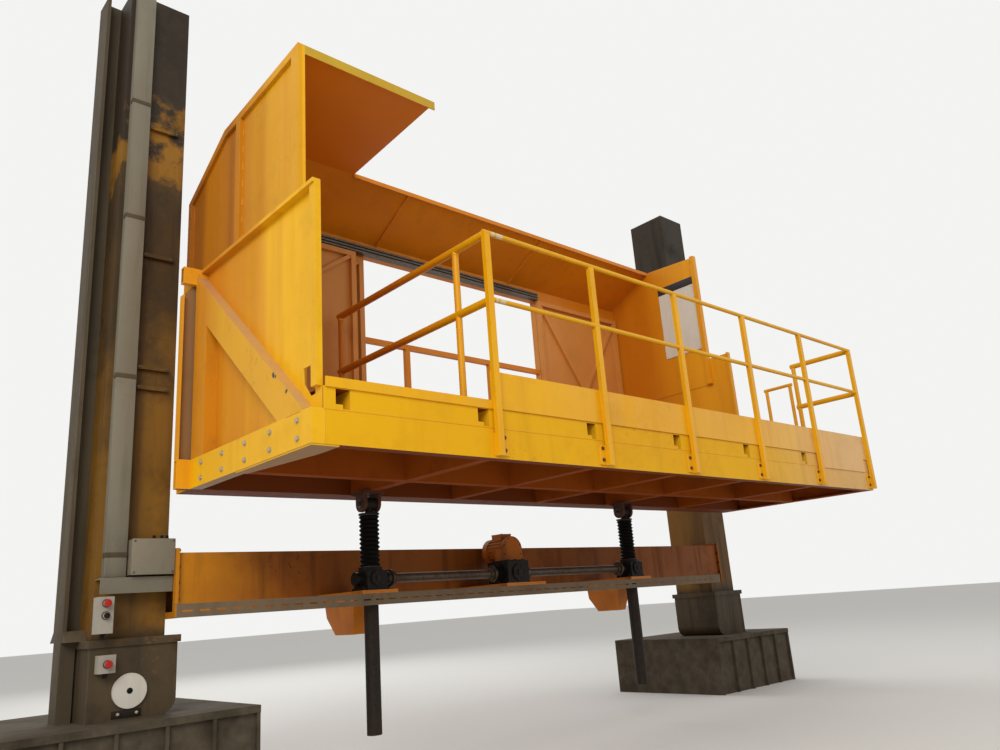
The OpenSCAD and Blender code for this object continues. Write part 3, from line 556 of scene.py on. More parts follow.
# Canopy: painted shade in orange on faces that look down.
YELLOW_CANOPY = Paint(
    "yellow_canopy_paint", Slot.SHADED, srgb(190, 156, 40), srgb(180, 140, 36), under=srgb(216, 122, 10),
    under_amount=1.0, ripple=0.02)
SCUFFED = Paint("scuffed_rail_paint", Slot.PLATFORM, srgb(222, 208, 176), srgb(206, 180, 120),
                grime=srgb(206, 140, 30), grime_amount=0.6, chip_amount=0.6, edge_amount=0.0)
ORANGE = Paint("orange_shaded_paint", Slot.SHADED, srgb(214, 130, 18), srgb(196, 112, 16), ripple=0.03,
               grime_amount=0.15, edge_amount=0.5)
# End wall: painted shade in orange, turning to yellow toward the front as painted light.
SHADED_ORANGE_WALL = Paint("orange_wall_paint", Slot.PLATFORM, srgb(196, 116, 14), srgb(188, 106, 14),
                    band_amount=0.3, ripple=0.04, grime_amount=0.12,
                    zones=(Zone(Axis.Y, 1.30, 0.75, srgb(232, 164, 22), 0.85),))
DOOR = Paint("door_leaf_paint", Slot.SHADED, srgb(206, 138, 66), srgb(192, 122, 58), ripple=0.03,
             grime_amount=0.15, dust=srgb(196, 150, 104), edge_amount=0.5)
# Underframe: painted shade, a dark orange-brown for yellow steel, darker on faces that look down; its grime
# and dust are its own.
SHADED_UNDERSIDE = Paint("underside_paint", Slot.SHADED, srgb(156, 76, 12), srgb(132, 60, 12),
                  grime=srgb(64, 32, 12), edge_wear_highlight_colour=srgb(172, 94, 30), dust=srgb(182, 134, 62), dust_amount=1.0,
                  under=srgb(138, 64, 10), under_amount=1.0, grime_amount=0.45, edge_amount=0.5,
                  gloss=0.62, shine=0.1)
# Joists: the underframe's painted shade, turning to plain yellow toward their front ends.
JOIST = replace(SHADED_UNDERSIDE, name="joist_paint", zones=(Zone(Axis.Y, 0.40, 0.12, srgb(232, 172, 16), 1.0),))
# Cross beam: darkened yellow, partly oil and grime, partly painted shade; lighter orange toward its left
# end.
BEAM = Paint("beam_oily_paint", Slot.BEAM, srgb(150, 84, 26), srgb(124, 66, 24), grime=srgb(48, 30, 20),
             edge_wear_highlight_colour=srgb(176, 110, 46), dust=srgb(112, 88, 64), bare=srgb(58, 40, 28), grime_amount=0.6,
             streak_amount=0.55, chip_amount=0.5, gloss=0.46, shine=0.18,
             zones=(Zone(Axis.X, 0.75, 0.05, srgb(206, 134, 22), 0.8, ragged=0.4),))
MOTOR = replace(BEAM, name="motor_paint", paint=srgb(186, 104, 24), faded=srgb(154, 80, 22), zones=())
CONSOLE = Paint("console_paint", Slot.BEAM, srgb(200, 116, 20), srgb(182, 98, 20), grime=srgb(84, 48, 22),
                dust=srgb(130, 96, 62), grime_amount=0.35, streak_amount=0.3)
COLUMN = Paint(
    "column_dirty_paint", Slot.COLUMN, srgb(62, 48, 28), srgb(86, 62, 28), band=srgb(42, 34, 24),
    grime=srgb(30, 25, 19), bare=srgb(150, 104, 30), edge_wear_highlight_colour=srgb(92, 76, 54), dust=srgb(84, 70, 54),
    fade_amount=0.9, band_amount=0.5, grime_amount=0.75, streak_amount=0.65, chip_amount=0.35, gloss=0.52,
    zones=(Zone(Axis.Z, 1.20, 0.30, srgb(136, 94, 26), 0.85, ragged=0.9),
           Zone(Axis.Z, -0.70, -0.80, srgb(80, 66, 46), ragged=0.12),
           Zone(Axis.Z, 2.04, 2.16, srgb(150, 104, 24), 0.75, ragged=0.7),
           Zone(Axis.Z, 2.46, 2.60, srgb(48, 38, 26), ragged=0.8)))
GUIDE = Paint("guide_rail_paint", Slot.GREY, srgb(86, 76, 60), srgb(72, 63, 49), grime=srgb(50, 42, 34),
              bare=srgb(66, 54, 42), edge_wear_highlight_colour=srgb(126, 114, 96), dust=srgb(104, 90, 72), grime_amount=0.55,
              streak_amount=0.6, gloss=0.56, shine=0.12)
TRUNKING = Paint("trunking_paint", Slot.GREY, srgb(122, 117, 102), srgb(108, 102, 88),
                 grime=srgb(66, 56, 44), bare=srgb(84, 70, 54), edge_wear_highlight_colour=srgb(162, 154, 136),
                 dust=srgb(118, 104, 84), grime_amount=0.45, streak_amount=0.5, gloss=0.46)
BOX = Paint("control_box_paint", Slot.GREY, srgb(134, 126, 108), srgb(120, 112, 96), grime=srgb(70, 60, 48),
            bare=srgb(90, 78, 62), edge_wear_highlight_colour=srgb(170, 162, 146), dust=srgb(122, 108, 88), grime_amount=0.4,
            streak_amount=0.35, gloss=0.42, zones=(Zone(Axis.Z, -0.470, -0.480, srgb(160, 154, 142)),))
TRAY = Paint("tray_paint", Slot.GREY, srgb(116, 98, 74), srgb(100, 84, 64), grime=srgb(54, 44, 34),
             bare=srgb(70, 54, 40), edge_wear_highlight_colour=srgb(150, 134, 110), dust=srgb(120, 100, 78), grime_amount=0.5,
             streak_amount=0.3, gloss=0.48)
WHITE = Paint("white_enamel", Slot.WHITE, srgb(214, 210, 200), srgb(196, 190, 178),
              grime=srgb(140, 128, 108), edge_wear_highlight_colour=srgb(180, 170, 150), grime_amount=0.3, streak_amount=0.25,
              chip_amount=0.1, gloss=0.32)
BOARD_DARK = Paint("board_header_paint", Slot.WHITE, srgb(44, 46, 52), srgb(60, 62, 66), chip_amount=0.05,
                   gloss=0.32)
RED_BUTTON = Paint("red_button_plastic", Slot.GREY, srgb(178, 30, 26), srgb(160, 34, 28),
                   edge_wear_highlight_colour=srgb(196, 90, 80), chip_amount=0.0, grime_amount=0.15, dust_amount=0.1, gloss=0.28)
BLACK_MACHINE = Raw("black_casting", Slot.MACHINE, srgb(24, 20, 17), srgb(17, 14, 12), srgb(46, 34, 24),
                    dust=srgb(54, 44, 34), grain=60.0, roughness=0.5, shine=0.16, bump=0.001)
STEEL = Raw("dull_steel", Slot.STEEL, srgb(108, 100, 90), srgb(86, 78, 70), srgb(78, 56, 40), grain=40.0,
            roughness=0.42, metallic=0.6, stain_amount=0.55, bump=0.0006)
DARK_STEEL = Raw("dark_steel", Slot.STEEL, srgb(44, 36, 30), srgb(33, 27, 23), srgb(54, 38, 27), grain=40.0,
                 roughness=0.55, metallic=0.1, shine=0.16, stain_amount=0.6, dust_amount=0.2, bump=0.0006)
SHAFT = Raw("shaft_steel", Slot.STEEL, srgb(98, 82, 66), srgb(76, 62, 50), srgb(56, 40, 28), grain=40.0,
            roughness=0.4, metallic=0.3, stain_amount=0.6, bump=0.0004)
RED_BROWN = Raw("primed_forging", Slot.STEEL, srgb(88, 50, 34), srgb(70, 40, 28), srgb(44, 30, 24),
                grain=30.0, roughness=0.55, stain_amount=0.5, bump=0.0008)
RUST = Raw("rusty_fastener", Slot.STEEL, srgb(116, 66, 34), srgb(92, 50, 28), srgb(58, 36, 24), grain=90.0,
           roughness=0.6, metallic=0.2, bump=0.0004)
ZINC = Raw("zinc_fastener", Slot.STEEL, srgb(196, 186, 166), srgb(170, 158, 138), srgb(140, 118, 88),
           grain=80.0, roughness=0.4, metallic=0.5, stain_amount=0.35, bump=0.0003)
RUBBER = Raw("black_rubber", Slot.RUBBER, srgb(14, 12, 10), srgb(10, 9, 8), srgb(36, 29, 23), grain=90.0,
             dust=srgb(42, 35, 28), roughness=0.7, shine=0.12, stain_amount=0.3, dust_amount=0.4,
             bump=0.0004)
CONCRETE = Raw("cast_concrete", Slot.CONCRETE, srgb(88, 79, 66), srgb(68, 60, 49), srgb(42, 36, 29),
               dust=srgb(92, 82, 66), grain=9.0, roughness=0.86, shine=0.15, stain_amount=0.65,
               dust_amount=0.4, bump=0.006)


# Meshes


def turned(direction: Vector) -> Matrix:
    """Returns the turn that takes +Z onto a direction."""
    return direction.to_track_quat("Z", "Y").to_matrix().to_4x4()


def pair(middle: float, half: float) -> Pair:
    """Returns the two places that lie evenly on both sides of a middle one."""
    return middle - half, middle + half


class Piece:
    """A mesh in the making that ends as one piece of the model.

    Attributes:
        WASHER: A washer's radius and thickness, as shares of the thread size.
        HEAD: A hexagon head's radius and height, as shares of the thread size.
        SOFT: The bevels of a washer and of a head, as shares of the thread size.
        SWELL: How much a scale of a weld bead is wider than the next one.
        RAGGED: The depth and the two turns that make a paint chip's outline uneven.
        CHIP_HIGH: How far a paint chip stands off its face, in metres.
        NUT_HIGH: The height of a cable gland's nut, in metres.
        SMOOTH_TO: The angle up to which faces meet smoothly.
    """

    WASHER = (1.15, 0.18)
    HEAD = (0.92, 0.64)
    SOFT = (0.04, 0.08)
    SWELL = 1.22
    RAGGED = (0.45, 2.3, 1.1)
    CHIP_HIGH = 0.0008
    NUT_HIGH = 0.012
    SMOOTH_TO = math.radians(38)

    def __init__(self, name: str, finish: Finish, body: Body = Body.STAND) -> None:
        """Starts an empty piece.

        Args:
            name: The piece's name.
            finish: Its finish.
            body: The body that it moves with.
        """
        self.name, self.finish, self.body = name, finish, body
        self.bm = bmesh.new()

    def soften(self, verts: Iterable[bmesh.types.BMVert], width: float, along: Vector | None = None) -> None:
        """Bevels the edges that meet at some vertices.

        Args:
            verts: The vertices.
            width: The width of the bevels.
            along: The direction of edges that stay as they are.
        """
        edges = list(dict.fromkeys(e for v in verts for e in v.link_edges))
        if along is not None:
            edges = [e for e in edges if abs((e.verts[0].co - e.verts[1].co).normalized().dot(along)) < 0.5]
        bmesh.ops.bevel(self.bm, geom=edges, offset=width, segments=2, profile=0.5, affect="EDGES",
                        material=-1)

    def box(self, low: Vector, high: Vector, edge: float) -> None:
        """Adds a box with softened edges.

        Args:
            low: Its lowest corner.
            high: Its highest corner.
            edge: The width of its bevels.
        """
        verts = bmesh.ops.create_cube(self.bm, size=1.0)["verts"]
        bmesh.ops.scale(self.bm, vec=high - low, verts=verts)
        bmesh.ops.translate(self.bm, vec=(high + low) / 2, verts=verts)
        self.soften(verts, edge)

    def rod(self, start: Vector, end: Vector, radius: float, sides: int = 24, edge: float = 0.0) -> None:
        """Adds a round or many-sided rod between two points.

        Args:
            start: The centre of its first end.
            end: The centre of its second end.
            radius: Its radius.
            sides: How many sides it has.
            edge: The width of the bevels at its ends.
        """
        along = end - start
        place = Matrix.Translation(start + along / 2) @ turned(along)
        verts = bmesh.ops.create_cone(self.bm, cap_ends=True, segments=sides, radius1=radius,
                                      radius2=radius, depth=along.length, matrix=place)["verts"]
        if edge:
            self.soften(verts, edge, along.normalized())

    def ring(self, start: Vector, end: Vector, inner: float, outer: float, steps: int = 40) -> None:
        """Spins a flat ring between two points.

        Args:
            start: The centre of its first face.
            end: The centre of its second face.
            inner: The radius of its bore.
            outer: Its outside radius.
            steps: How many steps the spin takes.
        """
        along = end - start
        place = Matrix.Translation(start) @ turned(along)
        profile = ((inner, 0.0), (outer, 0.0), (outer, along.length), (inner, along.length))
        verts = [self.bm.verts.new(place @ Vector((radius, 0.0, rise))) for radius, rise in profile]
        edges = [self.bm.edges.new((verts[i - 1], verts[i])) for i in range(4)]
        bmesh.ops.spin(self.bm, geom=verts + edges, cent=start, axis=along.normalized(), angle=math.tau,
                       steps=steps, use_merge=True)

    def bolt(self, at: Vector, out: Vector, size: float, washer: bool = True) -> None:
        """Adds a hexagon head on a washer.

        Args:
            at: The point on the face that it clamps.
            out: The way that the face looks.
            size: The thread size, in metres.
            washer: Whether it has a washer.
        """
        base = at
        if washer:
            base = at + out * size * self.WASHER[1]
            self.rod(at, base, size * self.WASHER[0], 20, size * self.SOFT[0])
        self.rod(base, base + out * size * self.HEAD[1], size * self.HEAD[0], 6, size * self.SOFT[1])

    def bolt_circle(self, centre: Vector, out: Vector, radius: float, count: int, size: float,
                    phase: float = 0.0) -> None:
        """Adds bolts evenly round a circle.

        Args:
            centre: The circle's centre, on the face.
            out: The way that the face looks.
            radius: The circle's radius.
            count: How many bolts there are.
            size: Their thread size.
            phase: The angle of the first one, as a share of a full turn.
        """
        place = turned(out)
        for index in range(count):
            angle = math.tau * (index / count + phase)
            away = place @ Vector((math.cos(angle), math.sin(angle), 0)) * radius
            self.bolt(centre + away, out, size, False)

    def bolt_grid(self, along: Iterable[float], across: Iterable[float], height: float, out: Vector,
                  size: float, washer: bool = True) -> None:
        """Adds bolts at the crossings of a grid on a level face.

        Args:
            along: Their places along the platform, from its corner.
            across: Their places towards the back.
            height: The face's height.
            out: The way that the face looks.
            size: Their thread size.
            washer: Whether they have washers.
        """
        for x, y in product(along, across):
            self.bolt(spot(x, y, height), out, size, washer)

    def gland(self, at: Vector, out: Vector, nut: float, sleeve: float, reach: float,
              edge: float = 0.003) -> None:
        """Adds a cable gland of a six-sided nut and a round sleeve.

        Args:
            at: The centre of its foot.
            out: The way that it points.
            nut: The nut's radius.
            sleeve: The sleeve's radius.
            reach: How far it stands out in all.
            edge: The width of the sleeve's bevels.
        """
        seat = at + out * self.NUT_HIGH
        self.rod(at, seat, nut, 6, 0.001)
        self.rod(seat, at + out * reach, sleeve, 24, edge)

    def bead(self, start: Vector, end: Vector, radius: float, pitch: float = 0.012) -> None:
        """Adds a weld bead of lapped scales along a line.

        Args:
            start: Where it starts.
            end: Where it ends.
            radius: Its radius.
            pitch: The distance from scale to scale.
        """
        along = end - start
        count = max(2, round(along.length / pitch))
        made = bmesh.ops.create_circle(self.bm, cap_ends=True, segments=8, radius=radius,
                                       matrix=Matrix.Translation(start) @ turned(along))
        face = made["verts"][0].link_faces[0]
        centre, step = start.copy(), along / count
        for index in range(count):
            swell = self.SWELL if index % 2 == 0 else 1 / self.SWELL
            grown = bmesh.ops.extrude_face_region(self.bm, geom=[face])["geom"]
            verts = [v for v in grown if isinstance(v, bmesh.types.BMVert)]
            bmesh.ops.delete(self.bm, geom=[face], context="FACES_ONLY")
            face = next(f for f in grown if isinstance(f, bmesh.types.BMFace))
            bmesh.ops.translate(self.bm, vec=step, verts=verts)
            centre += step
            bmesh.ops.scale(self.bm, vec=(swell, swell, swell), space=Matrix.Translation(-centre),
                            verts=verts)

    def flake(self, at: Vector, out: Vector, size: float, phase: float) -> None:
        """Adds a thin ragged spot where paint has come off.

        Args:
            at: Its centre, on the face.
            out: The way that the face looks.
            size: Its mean radius.
            phase: A number that sets its outline.
        """
        made = bmesh.ops.create_circle(self.bm, cap_ends=True, segments=11, radius=size,
                                       matrix=Matrix.Translation(at) @ turned(out))["verts"]
        depth, first, second = self.RAGGED
        for index, vert in enumerate(made):
            uneven = 1.0 + depth * math.sin(phase + index * first) * math.cos(index * second)
            vert.co = at + (vert.co - at) * uneven
        grown = bmesh.ops.extrude_face_region(self.bm, geom=[made[0].link_faces[0]])["geom"]
        lifted = [v for v in grown if isinstance(v, bmesh.types.BMVert)]
        bmesh.ops.translate(self.bm, vec=out * self.CHIP_HIGH, verts=lifted)

    def mesh(self) -> bpy.types.Object:
        """Turns the mesh into an object with its finish, smooth but for its sharp edges.

        Returns:
            The object.
        """
        bmesh.ops.recalc_face_normals(self.bm, faces=self.bm.faces)
        for face in self.bm.faces:
            face.smooth = True
        mesh = bpy.data.meshes.new(self.name)
        self.bm.to_mesh(mesh)
        self.bm.free()
        mesh.set_sharp_from_angle(angle=self.SMOOTH_TO)
        mesh.materials.append(self.finish.material())
        piece = bpy.data.objects.new(self.name, mesh)
        bpy.context.scene.collection.objects.link(piece)
        LOG.info("piece %s, %d faces", self.name, len(mesh.polygons))
        return piece

    def done(self) -> None:
        """Finishes the piece and lets it ride on its body."""
        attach(self.mesh(), self.body.value)


def paint_nodes(finish: Finish, *names: str) -> None:
    """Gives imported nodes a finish.

    Args:
        finish: The finish.
        *names: The nodes' names.
    """
    for name in names:
        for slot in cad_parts[name].material_slots:
            slot.material = finish.material()
        LOG.info("node %s in %s", name, finish.name)


# Sub-assemblies


@dataclass
class BaseFrame:
    """The channel frame, its deck and the sloping end brace."""

    bolt: float = 0.0135
    bolt_rows: Pair = (0.130, 0.042)
    bolt_start: float = 0.125
    bolt_pitch: float = 0.280
    bolt_columns: int = 5
    bead: float = 0.003
    seam_pitch: float = 0.020
    corner_bead: float = 0.0025
    corner_x: float = 0.070
    corner_span: Pair = (0.010, 0.166)
    sill_top: float = 0.170
    brace_foot: Pair = (0.10, 0.24)
    chips: tuple[tuple[float, float, float, float], ...] = (
        (0.372, 0.416, 0.014, 0.4), (0.350, 0.404, 0.008, 2.0), (0.235, 0.300, 0.011, 3.1))

    def dress(self) -> None:
        """Paints the frame's nodes."""
        paint_nodes(YELLOW_BEAM, "front_beam")
        paint_nodes(YELLOW_REAR, "rear_beam")
        paint_nodes(YELLOW_SILL, "end_sill")
        paint_nodes(DUSTY_SHADED_YELLOW, "end_brace")
        paint_nodes(YELLOW_POST, "rear_corner_post")
        paint_nodes(SHADED_UNDERSIDE, "cross_channels", "deck_stringers", "deck_plate")
        paint_nodes(JOIST, "deck_joists")
        paint_nodes(YELLOW_TOE, "toe_board")

    def build(self) -> None:
        """Adds the bolt rows, the weld beads and the paint chips of the left end and the front."""
        bolts = Piece("sill_bolts", ZINC, Body.PLATFORM)
        for column, row in product(range(self.bolt_columns), self.bolt_rows):
            bolts.bolt(spot(0, self.bolt_start + column * self.bolt_pitch, row), LEFT, self.bolt)
        bolts.done()
        low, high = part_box("front_beam")
        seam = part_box("rear_beam")[1].z
        weld = Piece("front_beam_weld", YELLOW, Body.PLATFORM)
        weld.bead(Vector((low.x, low.y, seam)), Vector((high.x, low.y, seam)), self.bead, self.seam_pitch)
        weld.done()
        corner = Piece("sill_corner_weld", YELLOW, Body.PLATFORM)
        corner.bead(*(spot(self.corner_x, 0, z) for z in self.corner_span), self.corner_bead)
        corner.bead(*(spot(0, y, self.sill_top) for y in self.brace_foot), self.bead)
        corner.done()
        chips = Piece("brace_chips", BOARD_DARK, Body.PLATFORM)
        for y, z, size, phase in self.chips:
            chips.flake(spot(0, y, z), LEFT, size, phase)
        chips.done()


@dataclass
class GuardRails:
    """The posts and rails along the front, the sides and the back."""

    first: float = 1.144
    pitch: float = 0.920
    regular: int = 5
    last: float = 5.784
    post: float = 0.042
    axis_y: float = -0.025
    top: float = 1.351
    middle: float = 0.9298
    rail_radius: float = 0.015
    bolt: float = 0.011
    bolt_face: float = -0.010
    rows: Pair = (0.118, 0.046)
    bolt_off: float = 0.047
    collar_long: float = 0.006
    collar_wall: float = 0.0028
    side_collars: Pair = (0.262, 1.599)
    side_collar_drop: float = 0.035
    side_collar: Pair = (0.0205, 0.0236)
    top_scuffs: tuple[Pair, ...] = ((0.036, 0.066), (0.078, 0.128))
    middle_scuffs: tuple[Pair, ...] = ((0.038, 0.058), (0.072, 0.116))
    scuff_skin: Pair = (-0.001, 0.0003)

    def posts(self) -> list[float]:
        """Returns the posts' places along the platform."""
        return [self.first + i * self.pitch for i in range(self.regular)] + [self.last]

    def dress(self) -> None:
        """Paints the rails and posts."""
        paint_nodes(YELLOW, "guard_posts", "guard_rails")
        paint_nodes(YELLOW_SIDE, "side_rails")
        paint_nodes(ORANGE, "back_rails")

    def build(self) -> None:
        """Adds the foot bolts, the weld collars and the scuffed stretches of the rails."""
        bolts = Piece("post_foot_bolts", RUST, Body.PLATFORM)
        welds = Piece("rail_welds", YELLOW, Body.PLATFORM)
        half, posts = self.post / 2, self.posts()
        for index, x in enumerate(posts):
            side = 1 if index == 0 else -1
            for row in self.rows:
                bolts.bolt(spot(x + side * self.bolt_off, self.bolt_face, row), FRONT, self.bolt)
            for way, there in ((-1, index > 0), (1, index < len(posts) - 1)):
                if there:
                    start = spot(x + way * half, self.axis_y, self.middle)
                    welds.rod(start, start + RIGHT * way * self.collar_long,
                              self.rail_radius + self.collar_wall, 24, 0.002)
        for y in self.side_collars:
            start = spot(self.first, y, self.top - self.side_collar_drop)
            welds.ring(start, start + DOWN * self.collar_long, *self.side_collar)
        bolts.done()
        welds.done()
        scuffs = Piece("rail_scuffs", SCUFFED, Body.PLATFORM)
        for z, stretches in ((self.top, self.top_scuffs), (self.middle, self.middle_scuffs)):
            for stretch in stretches:
                scuffs.ring(*(spot(self.first + x, self.axis_y, z) for x in stretch),
                            *(self.rail_radius + skin for skin in self.scuff_skin))
        scuffs.done()


@dataclass
class OperatorBay:
    """The open-fronted bay at the left end: shield, upper panel, post and canopy."""

    stiffener: Pair = (0.985, 1.045)
    sheet_x: float = 0.098
    stitch: float = 0.045
    stitch_pitch: float = 0.120
    stitch_start: float = 1.42
    stitch_end: float = 2.20
    bead: float = 0.004

    def dress(self) -> None:
        """Paints the bay."""
        paint_nodes(YELLOW_SHIELD, "end_shield")
        paint_nodes(YELLOW_PANEL, "end_panel")
        paint_nodes(YELLOW, "station_post")
        paint_nodes(YELLOW_CANOPY, "canopy")

    def build(self) -> None:
        """Adds the stitch welds along the upper panel's stiffener."""
        welds = Piece("panel_stitch_welds", YELLOW_PANEL, Body.PLATFORM)
        for y in self.stiffener:
            height = self.stitch_start
            while height < self.stitch_end:
                welds.bead(spot(self.sheet_x, y, height), spot(self.sheet_x, y, height + self.stitch),
                           self.bead)
                height += self.stitch_pitch
        welds.done()


@dataclass
class HoodAndDoors:
    """The sloping hood, the door track and header, the leaves and the right end wall."""

    header: float = 0.075
    sheet: float = 0.002
    rivet: float = 0.004
    rivet_in: float = 0.02

    def dress(self) -> None:
        """Paints the hood, doors and end wall."""
        paint_nodes(ORANGE, "hood", "door_header")
        paint_nodes(DOOR, "door_leaves", "door_jambs")
        paint_nodes(STEEL, "door_track")
        paint_nodes(SHADED_ORANGE_WALL, "end_wall", "end_wall_skirt")
        paint_nodes(WHITE, "notice_board")

    def build(self) -> None:
        """Adds the plain dark strip and the rivets of the notice board."""
        low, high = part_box("notice_board")
        strip = Piece("board_header", BOARD_DARK, Body.PLATFORM)
        strip.box(Vector((low.x - self.sheet, low.y, high.z - self.header)),
                  Vector((low.x, high.y, high.z)), 0.0006)
        strip.done()
        rivets = Piece("board_rivets", ZINC, Body.PLATFORM)
        for y, z in product((low.y + self.rivet_in, high.y - self.rivet_in),
                            (low.z + self.rivet_in, high.z - self.header - self.rivet_in)):
            at = Vector((low.x, y, z))
            rivets.rod(at, at + LEFT * self.sheet, self.rivet, 16, 0.001)
        rivets.done()


@dataclass
class JackLift:
    """The screw jacks, their bellows and the drive between them."""

    jacks: Pair = (1.112, 3.690)
    line_y: float = 1.250
    lug_plate: Point = (0.066, 0.060, -0.016)
    pin_end: Pair = (0.0625, -0.078)
    pin_ring: Pair = (0.0172, 0.026)
    folds: int = 12
    fold_depth: float = 0.014
    fold_round: float = 0.32
    spin_steps: int = 48
    band: Pair = (0.010, 0.004)
    shaft_z: float = -0.5525
    gear_bottom: float = -0.625
    gear_half: float = 0.120
    gear_face: float = 0.090
    gear_foot: Point = (0.085, 0.050, 0.018)
    oil_plug: Point = (0.045, -0.066, 0.120)
    drive: Pair = (2.2005, 2.4055)
    drive_hub: float = 0.030
    drive_face: float = 0.120
    drive_lid: Point = (0.070, 0.078, 0.163)
    coupling: Pair = (0.022, 0.038)
    coupling_circle: float = 0.0485
    motor: Pair = (2.4605, -0.3725)
    motor_front: float = 1.360
    motor_back: float = 1.605
    motor_circle: float = 0.090
    lid_half: float = 0.053
    lid_span: Pair = (1.417, 1.533)
    lid_rise: Pair = (0.117, 0.123)
    lid_screw_in: float = 0.010
    gland_places: Pair = (1.450, 1.500)
    gland_from: Pair = (0.050, 0.100)
    grille_rings: tuple[float, ...] = (0.024, 0.044, 0.064, 0.084)
    grille_arms: int = 4
    grille_reach: float = 0.086
    grille_high: Pair = (0.003, 0.0035)
    end_plate: float = 0.020
    end_rim: float = 0.0125
    end_pitch: float = 0.081
    shelves: tuple[Pair, ...] = ((1.112, 0.128), (2.373, 0.190), (3.690, 0.128))
    shelf_back: float = 1.678
    tray_bolt: Pair = (0.06, 0.033)

    def dress(self) -> None:
        """Paints the jacks, the drive and what carries them."""
        paint_nodes(RED_BROWN, "jack_lugs")
        paint_nodes(DARK_STEEL, "jack_screws", "jack_tubes")
        paint_nodes(SHAFT, "line_shafts")
        paint_nodes(BLACK_MACHINE, "jack_gearboxes", "drive_gearbox")
        paint_nodes(CONSOLE, "jack_consoles")
        paint_nodes(BEAM, "cross_beam")
        paint_nodes(MOTOR, "drive_motor")
        paint_nodes(TRAY, "cable_tray")

    def bellows(self, node: str) -> None:
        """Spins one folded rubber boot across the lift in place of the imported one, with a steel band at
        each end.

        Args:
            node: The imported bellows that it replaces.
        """
        low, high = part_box(node)
        outer = (high.x - low.x) / 2
        centre = (low + high) / 2
        axis = Vector((centre.x, centre.y, 0))
        boot = Piece(node + "_folds", RUBBER)
        step = (high.z - low.z) / (self.folds * 2)
        radii = [outer - (self.fold_depth if i % 2 == 0 else 0) for i in range(self.folds * 2 + 1)]
        verts = [boot.bm.verts.new(axis + Vector((r, 0, low.z + i * step))) for i, r in enumerate(radii)]
        for ends in pairwise(verts):
            boot.bm.edges.new(ends)
        bmesh.ops.bevel(boot.bm, geom=verts[1:-1], offset=step * self.fold_round, segments=2, profile=0.5,
                        affect="VERTICES", material=-1)
        bmesh.ops.spin(boot.bm, geom=boot.bm.verts[:] + boot.bm.edges[:], cent=axis, axis=UP,
                       angle=math.tau, steps=self.spin_steps, use_merge=True)
        bmesh.ops.remove_doubles(boot.bm, verts=boot.bm.verts, dist=1e-6)
        piece = boot.mesh()
        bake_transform(piece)
        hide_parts(node)
        wide, wall = self.band
        for body, height, name in ((Body.STAND, low.z, "lower"), (Body.PLATFORM, high.z - 0.012, "upper")):
            band = Piece(f"{node}_{name}_band", STEEL, body)
            base = Vector((centre.x, centre.y, height + 0.001))
            band.ring(base, base + UP * wide, *pair(outer - self.fold_depth, wall))
            band.done()

    def lug_fittings(self) -> None:
        """Adds the plate bolts and the pin rings of both lugs."""
        bolts = Piece("lug_bolts", RUST, Body.PLATFORM)
        rings = Piece("pin_rings", STEEL, Body.PLATFORM)
        bolt_x, bolt_y, plate_z = self.lug_plate
        pin_x, pin_z = self.pin_end
        for x in self.jacks:
            bolts.bolt_grid(pair(x, bolt_x), pair(self.line_y, bolt_y), plate_z, DOWN, 0.009)
            for way in (-1, 1):
                start = spot(x + way * pin_x, self.line_y, pin_z)
                rings.ring(start, start + RIGHT * way * 0.006, *self.pin_ring)
        bolts.done()
        rings.done()

    def gear_fittings(self) -> None:
        """Adds the bolts, plugs and covers of the three gearboxes."""
        bolts = Piece("gearbox_bolts", DARK_STEEL)
        middle = sum(self.drive) / 2
        for x, face, circle, size, plug, high in (
                (self.jacks[0], self.gear_face, 0.038, 0.006, 0.016, 0.006),
                (self.jacks[1], self.gear_face, 0.038, 0.006, 0.016, 0.006),
                (middle, self.drive_face, 0.049, 0.007, 0.020, 0.008)):
            front = spot(x, self.line_y - face, self.shaft_z)
            bolts.bolt_circle(front, FRONT, circle, 6, size)
            bolts.rod(front, front + FRONT * high, plug, 24, 0.002)
        foot_x, foot_y, foot_z = self.gear_foot
        plug_x, plug_y, plug_z = self.oil_plug
        for x in self.jacks:
            bolts.bolt_grid(pair(x, foot_x), pair(self.line_y, foot_y), self.gear_bottom + foot_z, UP,
                            0.009)
            bolts.bolt(spot(x + plug_x, self.line_y + plug_y, self.gear_bottom + plug_z), UP, 0.009, False)
        lid_x, lid_y, lid_z = self.drive_lid
        bolts.bolt_grid((middle - lid_x, middle, middle + lid_x), pair(self.line_y, lid_y),
                        self.gear_bottom + lid_z, UP, 0.007)
        bolts.done()

    def shaft_fittings(self) -> None:
        """Adds the bolts of the four flanged couplings."""
        bolts = Piece("coupling_bolts", DARK_STEEL)
        near, far = self.coupling
        for start, end in ((self.jacks[0] + self.gear_half, self.drive[0] - self.drive_hub),
                           (self.drive[1] + self.drive_hub, self.jacks[1] - self.gear_half)):
            for x, way in ((start + near, -1), (start + far, 1), (end - far, -1), (end - near, 1)):
                bolts.bolt_circle(spot(x, self.line_y, self.shaft_z), RIGHT * way, self.coupling_circle, 6,
                                  0.005, 0.04)
        bolts.done()

